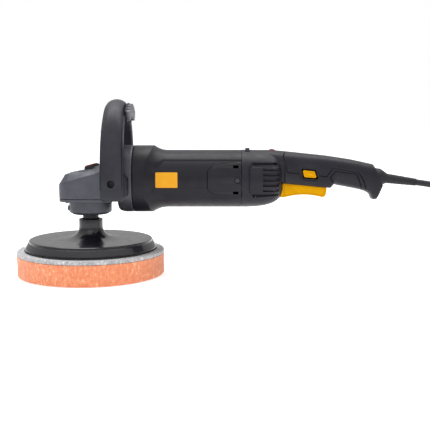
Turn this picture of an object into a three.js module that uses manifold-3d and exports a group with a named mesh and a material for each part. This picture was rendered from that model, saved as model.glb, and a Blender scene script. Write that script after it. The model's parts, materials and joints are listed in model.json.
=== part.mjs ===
// A rotary polisher: a bevel gear head with a foam pad below it, a motor housing behind, and a
// hooked rear handle. Millimetres, +Z up. The origin is on the spindle's axis at the pad's working
// face, and +X runs from the spindle back to the handle.

import * as THREE from 'three';
import { mergeVertices } from 'three/addons/utils/BufferGeometryUtils.js';
import Module from 'manifold-3d';

const wasm = await Module();
wasm.setup();

// ---------------------------------------------------------------- driving dimensions

const GAP = 0.3; // left between pieces that touch
const SIDES = 28; // facets of a large round part
const SMALL_SIDES = 16; // facets of a small round part

const PAD = { r: 90, foamTop: 25.8, layerTop: 30.3, hookR: 81, hookTop: 32 };
const PLATE = { rimR: 82, topR: 75.4, rimZ: 34, topZ: 43.4, neckR: 14.8, neckZ: 68.5 };
const SPINDLE = { threadR: 6.9, shoulderR: 9.8, journalR: 7.4, gearR: 6, topR: 5, bottom: 41, top: 125.3 };
const COVER = { r: 26.3, bottom: 74.75, flangeZ: 92, flangeTop: 95.2, flangeR: 34.3, seatR: 17.8 };
const HEAD = { half: 34.5, cornerR: 14, bottom: 95.5, rear: 36.9, cavityR: 25.4, cavityTop: 119.6 };
const FLANGE = { front: 37.2, rear: 55.5, r: 41 };
const MOTOR = { z: 118.4, front: 55.8, rear: 187.2, collarR: 41, barrelR: 35.3, wall: 2.7 };
const PANEL = { left: 74.3, corner: 93.7, low: 97, high: 142, r: 34.5 };
const SHELL = { front: 187.5, wall: 2.5 };
const LOOP = { x: 34.7, width: 28, thick: 16, midR: 54, centreZ: 153.6, footZ: 96, footY: 57 };
const BOLT = { x: 34.2, z: 116.3, shankR: 2.8, headR: 3.9 };
const TRIGGER = { pivotX: 244.5, pivotZ: 119, halfWidth: 12, pinR: 1.5 };
const LOCK = { x: 1.9, r: 7.5, slope: 14.5, bottom: 132.7, topZ: 136.1, travel: 4, bladeTip: 125.9 };
const DIAL = { front: 192.5, rear: 197.5, r: 9.5, z: 146.6, holeR: 1.9 };
const GUARD = { base: 358, tip: 390, tipZ: 115.4, slope: 7.4, tipR: 5.3, sleeveR: 6 };
const CORD = { d: 7.8, coilX: 562, coilY: -39, columns: [39, 46.8, 54.6], layers: 3, plugY: -98 };

// Gear train: a bevel pair with its apex on the spindle's axis, and a spur pair above and behind it.
const BEVEL = { apexZ: 106.4, module: 1.6, pinion: 10, crown: 30, face: 8, backlash: 0.36 };
const SPUR = { module: 0.8, pinion: 8, wheel: 22, front: 47, rear: 54, backlash: 0.3 };

const COLOURS = {
  castGrey: [0x5b5d65, 0.5, 0.45],
  flangeGrey: [0x4c4c52, 0.5, 0.3],
  darkPlastic: [0x36353b, 0.55, 0],
  handlePlastic: [0x3a3a40, 0.6, 0],
  softRubber: [0x2b2b30, 0.8, 0],
  orangeFoam: [0xf0a078, 0.95, 0],
  greyFoam: [0xb9b9bb, 0.95, 0],
  yellow: [0xd99e00, 0.45, 0],
  amber: [0xeaaa35, 0.4, 0],
  red: [0x7c1a1c, 0.4, 0],
  steel: [0xb4b6ba, 0.3, 0.9],
  blackSteel: [0x26262a, 0.45, 0.7],
  copper: [0xb06a3c, 0.4, 0.8],
  carbon: [0x2a2a2a, 0.7, 0.1],
};

// ---------------------------------------------------------------- solids and booleans

const model = new THREE.Group();

function toSolid(geometry) {
  const bare = geometry.clone();
  bare.deleteAttribute('normal');
  bare.deleteAttribute('uv');
  const merged = mergeVertices(bare, 1e-4);
  const triVerts = new Uint32Array(merged.index.array);
  return new wasm.Manifold(new wasm.Mesh({
    numProp: 3,
    vertProperties: merged.attributes.position.array,
    triVerts,
  }));
}

function toGeometry(solid) {
  const mesh = solid.getMesh();
  const geometry = new THREE.BufferGeometry();
  geometry.setAttribute('position', new THREE.BufferAttribute(mesh.vertProperties, 3));
  geometry.setIndex(new THREE.BufferAttribute(mesh.triVerts, 1));
  return geometry;
}

function join(first, ...others) {
  return toGeometry(others.reduce((sum, piece) => sum.add(toSolid(piece)), toSolid(first)));
}

function cut(first, ...tools) {
  return toGeometry(tools.reduce((rest, tool) => rest.subtract(toSolid(tool)), toSolid(first)));
}

function common(first, second) {
  return toGeometry(toSolid(first).intersect(toSolid(second)));
}

function addPart(name, geometry, colour) {
  const [color, roughness, metalness] = COLOURS[colour];
  const mesh = new THREE.Mesh(geometry, new THREE.MeshStandardMaterial({ color, roughness, metalness }));
  mesh.name = name;
  model.add(mesh);
}

// ---------------------------------------------------------------- basic shapes

function box([x0, x1], [y0, y1], [z0, z1]) {
  const shape = new THREE.BoxGeometry(x1 - x0, y1 - y0, z1 - z0);
  return shape.translate((x0 + x1) / 2, (y0 + y1) / 2, (z0 + z1) / 2);
}

function signedVolume(geometry) {
  const p = geometry.attributes.position;
  const index = geometry.index;
  const [a, b, c] = [new THREE.Vector3(), new THREE.Vector3(), new THREE.Vector3()];
  let sum = 0;
  for (let i = 0; i < index.count; i += 3) {
    a.fromBufferAttribute(p, index.getX(i));
    b.fromBufferAttribute(p, index.getX(i + 1));
    c.fromBufferAttribute(p, index.getX(i + 2));
    sum += a.dot(b.cross(c));
  }
  return sum;
}

// Turns the faces outwards, whichever way round the outline was drawn.
function faceOut(geometry) {
  if (signedVolume(geometry) < 0) {
    const order = geometry.index.array;
    for (let i = 0; i < order.length; i += 3) {
      [order[i + 1], order[i + 2]] = [order[i + 2], order[i + 1]];
    }
  }
  return geometry;
}

// A solid of revolution about the Y axis, from [radius, height] points.
function revolve(points, sides) {
  return faceOut(new THREE.LatheGeometry(points.map(([r, h]) => new THREE.Vector2(r, h)), sides));
}

const closed = (points) => [...points, points[0]];

function turnedZ(points, sides = SIDES) {
  return revolve(points, sides).rotateX(Math.PI / 2);
}

function turnedX(points, z = MOTOR.z, sides = SIDES) {
  return revolve(points, sides).rotateZ(-Math.PI / 2).translate(0, 0, z);
}

const rodZ = (r, z0, z1, x = 0, y = 0, sides = SMALL_SIDES) =>
  turnedZ([[0, z0], [r, z0], [r, z1], [0, z1]], sides).translate(x, y, 0);

const rodX = (r, x0, x1, z = MOTOR.z, sides = SMALL_SIDES) =>
  turnedX([[0, x0], [r, x0], [r, x1], [0, x1]], z, sides);

const rodY = (r, y0, y1, x, z, sides = SMALL_SIDES) =>
  revolve([[0, y0], [r, y0], [r, y1], [0, y1]], sides).translate(x, 0, z);

const ringZ = (inner, outer, z0, z1, sides = SIDES) =>
  turnedZ(closed([[inner, z0], [outer, z0], [outer, z1], [inner, z1]]), sides);

const ringX = (inner, outer, x0, x1, z = MOTOR.z, sides = SIDES) =>
  turnedX(closed([[inner, x0], [outer, x0], [outer, x1], [inner, x1]]), z, sides);

// An outline of [x, z] points, extruded along Y from y0 to y1.
function slabY(points, y0, y1) {
  const shape = new THREE.Shape(points.map(([x, z]) => new THREE.Vector2(x, z)));
  const slab = new THREE.ExtrudeGeometry(shape, { depth: y1 - y0, bevelEnabled: false });
  return slab.rotateX(Math.PI / 2).translate(0, y1, 0);
}

// An outline of [x, y] points, extruded along Z from z0 to z1.
function slabZ(points, z0, z1) {
  const shape = new THREE.Shape(points.map(([x, y]) => new THREE.Vector2(x, y)));
  return new THREE.ExtrudeGeometry(shape, { depth: z1 - z0, bevelEnabled: false }).translate(0, 0, z0);
}

// An outline of [y, z] points, extruded along X from x0 to x1, with its edges rounded by the bevel.
function slabX(points, x0, x1, bevel = 0) {
  const shape = new THREE.Shape(points.map(([y, z]) => new THREE.Vector2(y, z)));
  const slab = new THREE.ExtrudeGeometry(shape, {
    depth: x1 - x0 - 2 * bevel,
    bevelEnabled: bevel > 0,
    bevelThickness: bevel,
    bevelSize: bevel,
    bevelOffset: -bevel,
    bevelSegments: 2,
  });
  const turn = new THREE.Matrix4().makeBasis(
    new THREE.Vector3(0, 1, 0), new THREE.Vector3(0, 0, 1), new THREE.Vector3(1, 0, 0));
  return slab.applyMatrix4(turn).translate(x0 + bevel, 0, 0);
}

// A skin over rings of points that all have the same count. A band closes on its first ring; otherwise
// both ends are capped by a fan.
function skin(rings, isBand) {
  const count = rings[0].length;
  const points = rings.flat();
  const index = [];
  const last = isBand ? rings.length : rings.length - 1;
  for (let i = 0; i < last; i += 1) {
    const here = i * count;
    const next = ((i + 1) % rings.length) * count;
    for (let j = 0; j < count; j += 1) {
      const k = (j + 1) % count;
      index.push(here + j, next + j, next + k, here + j, next + k, here + k);
    }
  }
  if (!isBand) {
    const end = (rings.length - 1) * count;
    for (let j = 1; j < count - 1; j += 1) {
      index.push(0, j, j + 1, end, end + j + 1, end + j);
    }
  }
  const geometry = new THREE.BufferGeometry().setFromPoints(points);
  geometry.setIndex(index);
  return faceOut(geometry);
}

const arc = (cx, cy, r, from, to, steps) =>
  Array.from({ length: steps + 1 }, (_, i) => {
    const angle = THREE.MathUtils.degToRad(from + ((to - from) * i) / steps);
    return [cx + r * Math.cos(angle), cy + r * Math.sin(angle)];
  });

const mirrored = (side) => (side === 'left' ? -1 : 1);

// ---------------------------------------------------------------- pad and backing plate

function makePad() {
  const edge = 3;
  addPart('foam_pad', turnedZ([
    [0, 0], [PAD.r - edge, 0], [PAD.r, edge], [PAD.r, PAD.foamTop - GAP], [0, PAD.foamTop - GAP],
  ], 40), 'orangeFoam');
  addPart('pad_interface_layer', turnedZ([
    [0, PAD.foamTop], [PAD.r, PAD.foamTop], [PAD.r, PAD.layerTop - 1.5], [PAD.r - 1.5, PAD.layerTop - GAP],
    [0, PAD.layerTop - GAP],
  ], 40), 'greyFoam');
  addPart('hook_and_loop_disc', rodZ(PAD.hookR, PAD.layerTop, PAD.hookTop - GAP, 0, 0, 40), 'softRubber');
}

// The neck's flare is a quarter of an ellipse from the plate's top face up to the hub.
function neckFlare() {
  const foot = 34;
  return arc(0, 0, 1, 0, 90, 4).map(([u, v]) => [
    foot - (foot - PLATE.neckR) * v,
    PLATE.topZ + 14 - 14 * u + (v > 0.999 ? 2 : 0),
  ]);
}

function makeBackingPlate() {
  const bore = SPINDLE.threadR + GAP;
  const boreEnd = SPINDLE.bottom - GAP;
  addPart('backing_plate', turnedZ([
    [0, PAD.hookTop], [PLATE.rimR - 1.5, PAD.hookTop], [PLATE.rimR, PLATE.rimZ],
    [PLATE.topR, PLATE.topZ - 1], [PLATE.topR - 1.5, PLATE.topZ], ...neckFlare(),
    [PLATE.neckR, PLATE.neckZ], [bore, PLATE.neckZ], [bore, boreEnd], [0, boreEnd],
  ]), 'darkPlastic');
}

// ---------------------------------------------------------------- spindle and gear train

function makeSpindle() {
  const { threadR, shoulderR, journalR, gearR, topR, bottom, top } = SPINDLE;
  const shoulderZ = PLATE.neckZ + GAP;
  const shaft = turnedZ([
    [0, bottom], [threadR, bottom], [threadR, shoulderZ], [shoulderR, shoulderZ], [shoulderR, 73.6],
    [journalR, 73.6], [journalR, 96], [gearR, 98], [gearR, 119.4], [topR, 119.4], [topR, top], [0, top],
  ], SMALL_SIDES);
  const slot = 1.9;
  const depth = 3.8;
  addPart('spindle', cut(
    shaft,
    box([-slot, slot], [-topR - 1, topR + 1], [top - depth, top + 1]),
    box([-topR - 1, topR + 1], [-slot, slot], [top - depth, top + 1]),
  ), 'steel');
}

// Four outline points for each tooth: root, tip, tip, root. Each has a height above the pitch line and
// an angle from the gear's first tooth.
function toothPoints(count, module, backlash) {
  const pitchR = (module * count) / 2;
  const addendum = 0.72 * module;
  const dedendum = 1.0 * module;
  const lean = Math.tan(THREE.MathUtils.degToRad(21));
  const half = (Math.PI * module) / 4 - backlash / 2;
  const tip = (half - addendum * lean) / pitchR;
  const root = (half + dedendum * lean) / pitchR;
  return Array.from({ length: count }, (_, i) => {
    const centre = (i * 2 * Math.PI) / count;
    return [[-dedendum, centre - root], [addendum, centre - tip], [addendum, centre + tip],
      [-dedendum, centre + root]];
  }).flat();
}

// A spur gear about an axis along X, with its first tooth at the angle phase from +Y towards +Z.
function spurGear(count, phase, z) {
  const pitchR = (SPUR.module * count) / 2;
  const outline = toothPoints(count, SPUR.module, SPUR.backlash).map(([height, angle]) => [
    (pitchR + height) * Math.cos(angle + phase),
    z + (pitchR + height) * Math.sin(angle + phase),
  ]);
  return slabX(outline, SPUR.front, SPUR.rear);
}

// A bevel gear about +Z with its apex at the origin and its teeth along the pitch cone.
function bevelGear(count, mateCount, boreR, back) {
  const cone = Math.atan(count / mateCount);
  const outer = (BEVEL.module * Math.hypot(count, mateCount)) / 2;
  const inner = outer - BEVEL.face;
  const points = toothPoints(count, BEVEL.module, BEVEL.backlash);
  const ring = (distance) => points.map(([height, angle]) => {
    const tilt = cone + height / outer;
    const r = distance * Math.sin(tilt);
    return new THREE.Vector3(r * Math.cos(angle), r * Math.sin(angle), distance * Math.cos(tilt));
  });
  const flat = (radius, z) => points.map(([, angle]) =>
    new THREE.Vector3(radius * Math.cos(angle), radius * Math.sin(angle), z));
  const rootTilt = cone - BEVEL.module / outer;
  const backR = outer * Math.sin(rootTilt);
  return skin([
    flat(boreR, back), flat(backR, back), ring(outer), ring(inner), flat(boreR, inner * Math.cos(rootTilt)),
  ], true);
}

function makeCrownGear() {
  const gear = bevelGear(BEVEL.crown, BEVEL.pinion, SPINDLE.gearR + GAP, 12.7);
  addPart('crown_gear', gear.translate(0, 0, BEVEL.apexZ), 'steel');
}

// The pinion turns about +X. It has a tooth space at +Z, where the crown gear has a tooth.
function makePinionShaft() {
  const pitch = Math.PI / BEVEL.pinion;
  const pinion = bevelGear(BEVEL.pinion, BEVEL.crown, 2, 26.4).rotateZ(pitch).rotateY(Math.PI / 2);
  const shaft = rodX(4.2, 16.8, 55, 0, 24);
  addPart('bevel_pinion_shaft', join(pinion, shaft).translate(0, 0, BEVEL.apexZ), 'steel');
  addPart('reduction_gear', cut(
    spurGear(SPUR.wheel, Math.PI / 2, BEVEL.apexZ),
    rodX(4.2 + GAP, 40, 60, BEVEL.apexZ),
  ), 'steel');
}

function bearing(name, make, inner, outer, from, to, ...place) {
  addPart(name, make(inner, outer, from, to, ...place), 'steel');
}

function makeBearings() {
  bearing('spindle_ball_bearing', ringZ, SPINDLE.journalR + 0.4, COVER.seatR - GAP, 77.8, 88.8, SMALL_SIDES);
  bearing('spindle_needle_bearing', ringZ, SPINDLE.topR + 0.4, 8.6, 119.9, 125.3, SMALL_SIDES);
  bearing('pinion_bearing_front', ringX, 4.6, 9, 27.5, 35.5, BEVEL.apexZ, SMALL_SIDES);
  bearing('pinion_bearing_rear', ringX, 4.6, 9, 38, 45, BEVEL.apexZ, SMALL_SIDES);
  bearing('motor_bearing_front', ringX, 5.3, 11, 58, 66.2, MOTOR.z, SMALL_SIDES);
  bearing('motor_bearing_rear', ringX, 5.3, 11, 189.5, 196.5, MOTOR.z, SMALL_SIDES);
}

// ---------------------------------------------------------------- gear head

// The nose from above: a square front with rounded corners, half as wide as it is long from the spindle.
function noseOutline(half) {
  const centre = half - HEAD.cornerR;
  return [
    ...arc(-centre, centre, HEAD.cornerR, 90, 180, 5), ...arc(-centre, -centre, HEAD.cornerR, 180, 270, 5),
  ];
}

// The head's outline from the side, and from above where the nose runs back to the flange.
function headBody() {
  const side = slabY([
    [-HEAD.half, HEAD.bottom], [HEAD.rear, HEAD.bottom], [HEAD.rear, 150], [28, 147], [10, 137.6],
    [-26, 125.7], [-HEAD.half, 108],
  ], -60, 60);
  const plan = slabZ([
    ...noseOutline(HEAD.half), [24, -HEAD.half], [HEAD.rear, -39], [HEAD.rear, 39], [24, HEAD.half],
  ], 90, 160);
  return common(common(side, plan), rodX(40.5, -50, HEAD.rear, MOTOR.z, SIDES));
}

function screwPlaces() {
  const angle = THREE.MathUtils.degToRad(30);
  const r = 30;
  return [[-1, -1], [-1, 1], [1, -1], [1, 1]].map(([sx, sy]) =>
    [sx * r * Math.cos(angle), sy * r * Math.sin(angle)]);
}

function makeGearHousing() {
  const { cavityR, cavityTop, bottom, rear } = HEAD;
  const tilt = THREE.MathUtils.degToRad(-LOCK.slope);
  const buttonRim = rodZ(LOCK.r + 1.7, -12, -0.9, 0, 0, 24).rotateY(tilt).translate(LOCK.x, 0, LOCK.topZ);
  const seats = [-1, 1].map((side) => common(
    rodY(12, side < 0 ? -41.1 : 30, side < 0 ? -30 : 41.1, BOLT.x, BOLT.z, 24),
    box([0, rear], [-50, 50], [90, 150]),
  ));
  const boltHoles = [-1, 1].map((side) =>
    rodY(BOLT.shankR + 0.4, side < 0 ? -45 : 28, side < 0 ? -28 : 45, BOLT.x, BOLT.z));
  addPart('gear_housing', cut(
    join(headBody(), buttonRim, ...seats),
    rodZ(cavityR, bottom - 1, cavityTop, 0, 0, SIDES),
    rodX(9.9, 0, 26.9, BEVEL.apexZ, 24),
    rodX(9.3, 20, rear + 1, BEVEL.apexZ, 24),
    rodZ(8.9, 110, 125.6, 0, 0, 24),
    rodZ(4.8, 110, 131, 0, 0),
    rodZ(LOCK.r + 0.4, LOCK.bottom - LOCK.travel - 0.4, 150, LOCK.x, 0, 24),
    ...screwPlaces().map(([x, y]) => rodZ(1.9, bottom - 1, bottom + 12, x, y, 8)),
    ...boltHoles,
  ), 'castGrey');
}

function makeBearingCover() {
  const { r, bottom, flangeZ, flangeTop, flangeR, seatR } = COVER;
  const cup = turnedZ(closed([
    [9.4, bottom], [r - 2, bottom], [r, bottom + 2], [r, flangeTop], [seatR, flangeTop], [seatR, 77.5],
    [9.4, 77.5],
  ]));
  const flange = cut(
    slabZ([...noseOutline(flangeR), [30, -flangeR], [30, flangeR]], flangeZ, flangeTop),
    rodZ(r - 2, flangeZ - 1, flangeTop + 1, 0, 0, SIDES),
  );
  addPart('spindle_bearing_cover', cut(
    join(cup, flange),
    ...screwPlaces().map(([x, y]) => rodZ(2.1, flangeZ - 1, flangeTop + 1, x, y, 8)),
  ), 'castGrey');
  screwPlaces().forEach(([x, y], i) => {
    const head = [[0, 89.2], [3.1, 89.2], [3.1, flangeZ - GAP]];
    const shank = [[1.6, flangeZ - GAP], [1.6, 105], [0, 105]];
    addPart(`cover_screw_${i + 1}`, turnedZ([...head, ...shank], 8).translate(x, y, 0), 'blackSteel');
  });
}

function makeSpindleLock() {
  const cap = common(
    rodZ(LOCK.r, LOCK.bottom, LOCK.bottom + 12, LOCK.x, 0, 24),
    box([-20, 20], [-20, 20], [-20, 0]).rotateY(THREE.MathUtils.degToRad(-LOCK.slope))
      .translate(LOCK.x, 0, LOCK.topZ),
  );
  const pin = rodZ(2.6, 128, LOCK.bottom + 0.5, 0, 0);
  const blade = box([-1.6, 1.6], [-4.2, 4.2], [LOCK.bladeTip, 129.6]);
  addPart('spindle_lock_button', join(cap, pin, blade), 'red');
}

// ---------------------------------------------------------------- gear flange and D-handle

function makeGearFlange() {
  const { front, rear, r } = FLANGE;
  const disc = turnedX([[0, front], [r - 1.5, front], [r, front + 1.5], [r, rear], [0, rear]]);
  addPart('gear_flange', cut(
    disc,
    rodX(14, 45.4, rear + 1, 110.4, 24),
    rodX(9.3, front - 1, 46, BEVEL.apexZ, 24),
  ), 'flangeGrey');
}

// The loop seen along X: outer edge up and over, then the inner edge back.
function loopOutline(inset, footZ) {
  const { thick, midR, centreZ, footY } = LOOP;
  const outer = midR + thick / 2 - inset;
  const inner = midR - thick / 2 + inset;
  const lean = footY - midR;
  const edge = (r, from, to) => arc(0, centreZ, r, from, to, 14);
  return [
    [inner + lean + 4, footZ], [outer + lean - 4, footZ], [outer + lean, footZ + 5],
    [outer + lean, 118], ...edge(outer, 0, 180), [-outer - lean, 118], [-outer - lean, footZ + 5],
    [-outer - lean + 4, footZ], [-inner - lean - 4, footZ], [-inner - lean, footZ + 4],
    [-inner - lean, 118], ...edge(inner, 180, 0), [inner + lean, 118], [inner + lean, footZ + 4],
  ];
}

function makeLoopHandle() {
  const [x0, x1] = [LOOP.x - LOOP.width / 2, LOOP.x + LOOP.width / 2];
  const footInner = LOOP.footY - LOOP.thick / 2;
  const footOuter = LOOP.footY + LOOP.thick / 2;
  const parts = [-1, 1].map((side) => {
    const from = (y0, y1) => (side < 0 ? [-y1, -y0] : [y0, y1]);
    return {
      boss: rodY(11.5, ...from(41.5, footInner + 2), BOLT.x, BOLT.z, 24),
      hole: rodY(BOLT.shankR + 0.4, ...from(40, footOuter + 1), BOLT.x, BOLT.z),
      counterbore: rodY(BOLT.headR + 0.4, ...from(56, footOuter + 1), BOLT.x, BOLT.z),
    };
  });
  const loop = slabX(loopOutline(0, LOOP.footZ), x0, x1, 2.5);
  addPart('d_handle', cut(
    join(loop, ...parts.map((part) => part.boss)),
    ...parts.flatMap((part) => [part.hole, part.counterbore]),
  ), 'handlePlastic');
  for (const side of ['left', 'right']) {
    const sign = mirrored(side);
    const span = (y0, y1) => (sign < 0 ? [-y1, -y0] : [y0, y1]);
    addPart(`d_handle_bolt_${side}`, join(
      rodY(BOLT.headR, ...span(56.3, 61), BOLT.x, BOLT.z),
      rodY(BOLT.shankR, ...span(29, 58), BOLT.x, BOLT.z),
    ), 'blackSteel');
  }
}

// The ribbed insert is a band on the rear face of the loop's top.
function makeGripInsert() {
  const band = [
    ...arc(0, LOOP.centreZ, 57, 48, 132, 12), ...arc(0, LOOP.centreZ, 41, 132, 48, 12),
  ];
  const rearFace = LOOP.x + LOOP.width / 2;
  addPart('d_handle_grip_insert', slabX(band, rearFace + GAP, rearFace + 5.3), 'softRubber');
}

// ---------------------------------------------------------------- motor housing

const panelOutline = (grow = 0) => [
  [PANEL.left - grow, 109 - grow], [PANEL.corner, PANEL.low - grow], [MOTOR.rear + 5, PANEL.low - grow],
  [MOTOR.rear + 5, PANEL.high + grow], [PANEL.corner, PANEL.high + grow], [PANEL.left - grow, 128 + grow],
];

const brushCoverOutline = [
  [146.4, 106], [153.4, 98.5], [186.4, 98.5], [186.4, 139.5], [153.4, 139.5], [146.4, 131],
];

function makeMotorHousing() {
  const { front, rear, collarR, barrelR, wall } = MOTOR;
  const inner = barrelR - wall;
  const tube = turnedX(closed([
    [11.4, front], [collarR, front], [collarR, 79], [39.3, 84], [36.4, 92], [barrelR, 99],
    [barrelR, rear], [inner, rear], [inner, 69], [6.4, 69], [6.4, 66.5], [11.4, 66.5],
  ]));
  const skinRing = ringX(PANEL.r, 50, 70, rear + 6, MOTOR.z, SIDES);
  const recesses = [[-60, -5], [5, 60]].map(([y0, y1]) => common(slabY(panelOutline(), y0, y1), skinRing));
  const brushWindows = [-1, 1].map((side) => box(
    [161, 177], side < 0 ? [-50, -20] : [20, 50], [MOTOR.z - 8, MOTOR.z + 8],
  ));
  const screwHoles = [-1, 1].map((side) => box(
    [180.2, 183.8], side < 0 ? [-50, -20] : [20, 50], [MOTOR.z - 1.8, MOTOR.z + 1.8],
  ));
  addPart('motor_housing', cut(tube, ...recesses, ...brushWindows, ...screwHoles), 'darkPlastic');
}

function makeSidePlates() {
  const badgeOutline = [[83.7, 109.4], [110.1, 109.4], [110.1, 128.1], [83.7, 128.1]];
  const layer = (outer, x0, x1) => ringX(PANEL.r + GAP, outer, x0, x1, MOTOR.z, SIDES);
  addPart('name_badge', common(slabY(badgeOutline, -60, -5), layer(PANEL.r + 0.9, 80, 115)), 'amber');
  for (const side of ['left', 'right']) {
    const sign = mirrored(side);
    const span = (y0, y1) => (sign < 0 ? [-y1, -y0] : [y0, y1]);
    addPart(`brush_cover_${side}`, cut(
      common(slabY(brushCoverOutline, ...span(5, 60)), layer(PANEL.r + 1.4, 140, 190)),
      rodY(1.6, ...span(20, 60), 182, MOTOR.z, 8),
      rodY(3.6, ...span(PANEL.r + 0.7, 60), 182, MOTOR.z, 12),
    ), 'darkPlastic');
    const head = rodY(3.2, ...span(PANEL.r + 1, PANEL.r + 1.9), 182, MOTOR.z, 12);
    const shank = rodY(1.25, ...span(27, PANEL.r + 1.5), 182, MOTOR.z, 8);
    addPart(`brush_cover_screw_${side}`, join(head, shank), 'blackSteel');
  }
}

// ---------------------------------------------------------------- motor

function makeArmature() {
  const bore = 5.1;
  const shaftR = 4.8;
  const gapDown = -Math.PI / 2 + Math.PI / SPUR.pinion;
  addPart('armature_shaft', join(
    rodX(shaftR, 54.6, 200),
    spurGear(SPUR.pinion, gapDown, MOTOR.z),
    rodX(2, 50, 56, MOTOR.z, 8),
  ), 'steel');
  addPart('armature_core', turnedX(closed([
    [bore, 97], [13, 97], [16, 100], [16, 103.5], [18.6, 104], [18.6, 150], [16, 150.5], [16, 155],
    [12, 158], [bore, 158],
  ]), MOTOR.z, SMALL_SIDES), 'copper');
  addPart('commutator', ringX(bore, 11, 161, 177, MOTOR.z, SMALL_SIDES), 'copper');
  const blades = Array.from({ length: 9 }, (_, i) =>
    box([74, 83], [-0.8, 0.8], [8, 30]).rotateX((i * 2 * Math.PI) / 9).translate(0, 0, MOTOR.z));
  addPart('cooling_fan', join(
    ringX(bore, 10, 72, 84, MOTOR.z, SMALL_SIDES),
    ringX(bore, 31, 72, 74, MOTOR.z, SMALL_SIDES),
    ...blades,
  ), 'darkPlastic');
}

function makeStator() {
  const outer = MOTOR.barrelR - MOTOR.wall - 0.5;
  const poles = [-1, 1].map((side) =>
    box([104, 150], [-9, 9], side < 0 ? [-28, -18] : [18, 28]).translate(0, 0, MOTOR.z));
  addPart('stator_core', cut(
    join(ringX(27, outer, 104, 150), ...poles),
    rodX(19.5, 100, 154, MOTOR.z, SIDES),
  ), 'steel');
  for (const [name, low] of [['field_coil_lower', -23.5], ['field_coil_upper', 20.3]]) {
    const frame = box([98, 156], [-13, 13], [low, low + 3.2]);
    const window = box([103.6, 150.4], [-9.4, 9.4], [low - 1, low + 5]);
    addPart(name, cut(frame, window).translate(0, 0, MOTOR.z), 'copper');
  }
}

function makeBrushes() {
  for (const side of ['left', 'right']) {
    const sign = mirrored(side);
    const span = (y0, y1) => (sign < 0 ? [-y1, -y0] : [y0, y1]);
    const place = (geometry) => geometry.translate(0, 0, MOTOR.z);
    addPart(`carbon_brush_${side}`, place(box([165, 173], span(11.6, 26), [-3.5, 3.5])), 'carbon');
    addPart(`brush_holder_${side}`, place(cut(
      box([163.3, 174.7], span(13.5, 29), [-5.2, 5.2]),
      box([164.7, 173.3], span(10, 32), [-3.8, 3.8]),
    )), 'steel');
  }
}

function makeRearBearingPlate() {
  const plate = turnedX(closed([
    [11.4, 188.2], [31.4, 188.2], [31.4, 191], [14, 191], [14, 197], [11.4, 197],
  ]), MOTOR.z, SMALL_SIDES);
  const airHoles = Array.from({ length: 4 }, (_, i) =>
    rodX(6, 187, 192, 22.5, 8).rotateX((i * Math.PI) / 2 + Math.PI / 4).translate(0, 0, MOTOR.z));
  addPart('rear_bearing_plate', cut(plate, ...airHoles), 'darkPlastic');
}

// ---------------------------------------------------------------- rear housing and handle

// Sections along X: [x, top, bottom, half width, squareness].
const HANDLE_SECTIONS = [
  [187.5, 153.7, 83.1, 35.3, 2], [205, 153.7, 84.4, 34.8, 2.1], [219, 153.6, 86.6, 33, 2.2],
  [226, 153.4, 89.6, 30.5, 2.3], [233.6, 152.8, 95, 27, 2.4], [240.3, 152.2, 112.4, 22.5, 2.5],
  [248, 151.4, 111.7, 19.8, 2.6], [270, 149.3, 109.4, 19, 2.6], [296.9, 146.3, 106.8, 18, 2.6],
  [301.2, 145.7, 111.4, 17.6, 2.6], [323, 142.1, 107.1, 17, 2.6], [338, 138.9, 103.6, 17, 2.6],
  [344.8, 137.4, 99.9, 17, 2.6], [348, 136.6, 93.4, 17, 2.6], [355.4, 134, 92.1, 16.5, 2.6],
  [363, 130.5, 110.9, 15, 2.6],
];

const SECTION_POINTS = 24;

function handleSolid(inset) {
  const rings = HANDLE_SECTIONS.map(([x, top, bottom, halfWidth, power], i) => {
    const middle = (top + bottom) / 2;
    const halfHeight = (top - bottom) / 2 - inset;
    const isEnd = i === HANDLE_SECTIONS.length - 1;
    const at = x - (isEnd ? inset : 0) - (i === 0 ? inset : 0);
    return Array.from({ length: SECTION_POINTS }, (_, j) => {
      const angle = ((j + 0.5) * 2 * Math.PI) / SECTION_POINTS;
      const [c, s] = [Math.cos(angle), Math.sin(angle)];
      const bend = (value) => Math.sign(value) * Math.abs(value) ** (2 / power);
      return new THREE.Vector3(at, (halfWidth - inset) * bend(c), middle + halfHeight * bend(s));
    });
  });
  return skin(rings, false);
}

function ventSlots(sign) {
  const louvreZ = [131.7, 125.4, 119, 112.7, 106];
  return louvreZ.map((z) => box([212, 230], sign < 0 ? [-40, -22] : [22, 40], [z - 1, z + 1]));
}

const LOCK_BUTTON_OUTLINE = [[261.6, 129.9], [263.9, 121.3], [278.9, 120.2], [276.1, 128.2]];

function grownOutline(points, grow) {
  const cx = points.reduce((sum, [x]) => sum + x, 0) / points.length;
  const cz = points.reduce((sum, [, z]) => sum + z, 0) / points.length;
  return points.map(([x, z]) => [x + Math.sign(x - cx) * grow, z + Math.sign(z - cz) * grow]);
}

// Each screw's [x, z], and how far out the right shell's skin is there.
const SHELL_SCREWS = [[204, 94, 24.5], [306, 128, 17.6]];

function makeRearShells() {
  const hollow = cut(
    handleSolid(0),
    handleSolid(SHELL.wall),
    box([233.9, 297.3], [-TRIGGER.halfWidth - 0.5, TRIGGER.halfWidth + 0.5], [85, 122]),
    box([DIAL.front - 0.5, DIAL.rear + 0.5], [-9.3, 9.3], [145, 160]),
    box([221.2, 229.3], [-3.4, 3.4], [146, 160]),
    rodX(7.4, 355, 370, 119.2),
  );
  for (const side of ['left', 'right']) {
    const sign = mirrored(side);
    const half = box([180, 370], sign < 0 ? [-60, -GAP / 2] : [GAP / 2, 60], [60, 180]);
    const holes = side === 'left'
      ? [slabY(grownOutline(LOCK_BUTTON_OUTLINE, 0.5), -25, -12)]
      : SHELL_SCREWS.map(([x, z]) => rodY(2.2, 5, 45, x, z, 8));
    addPart(`rear_shell_${side}`, cut(common(hollow, half), ...ventSlots(sign), ...holes), 'handlePlastic');
  }
}

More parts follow.
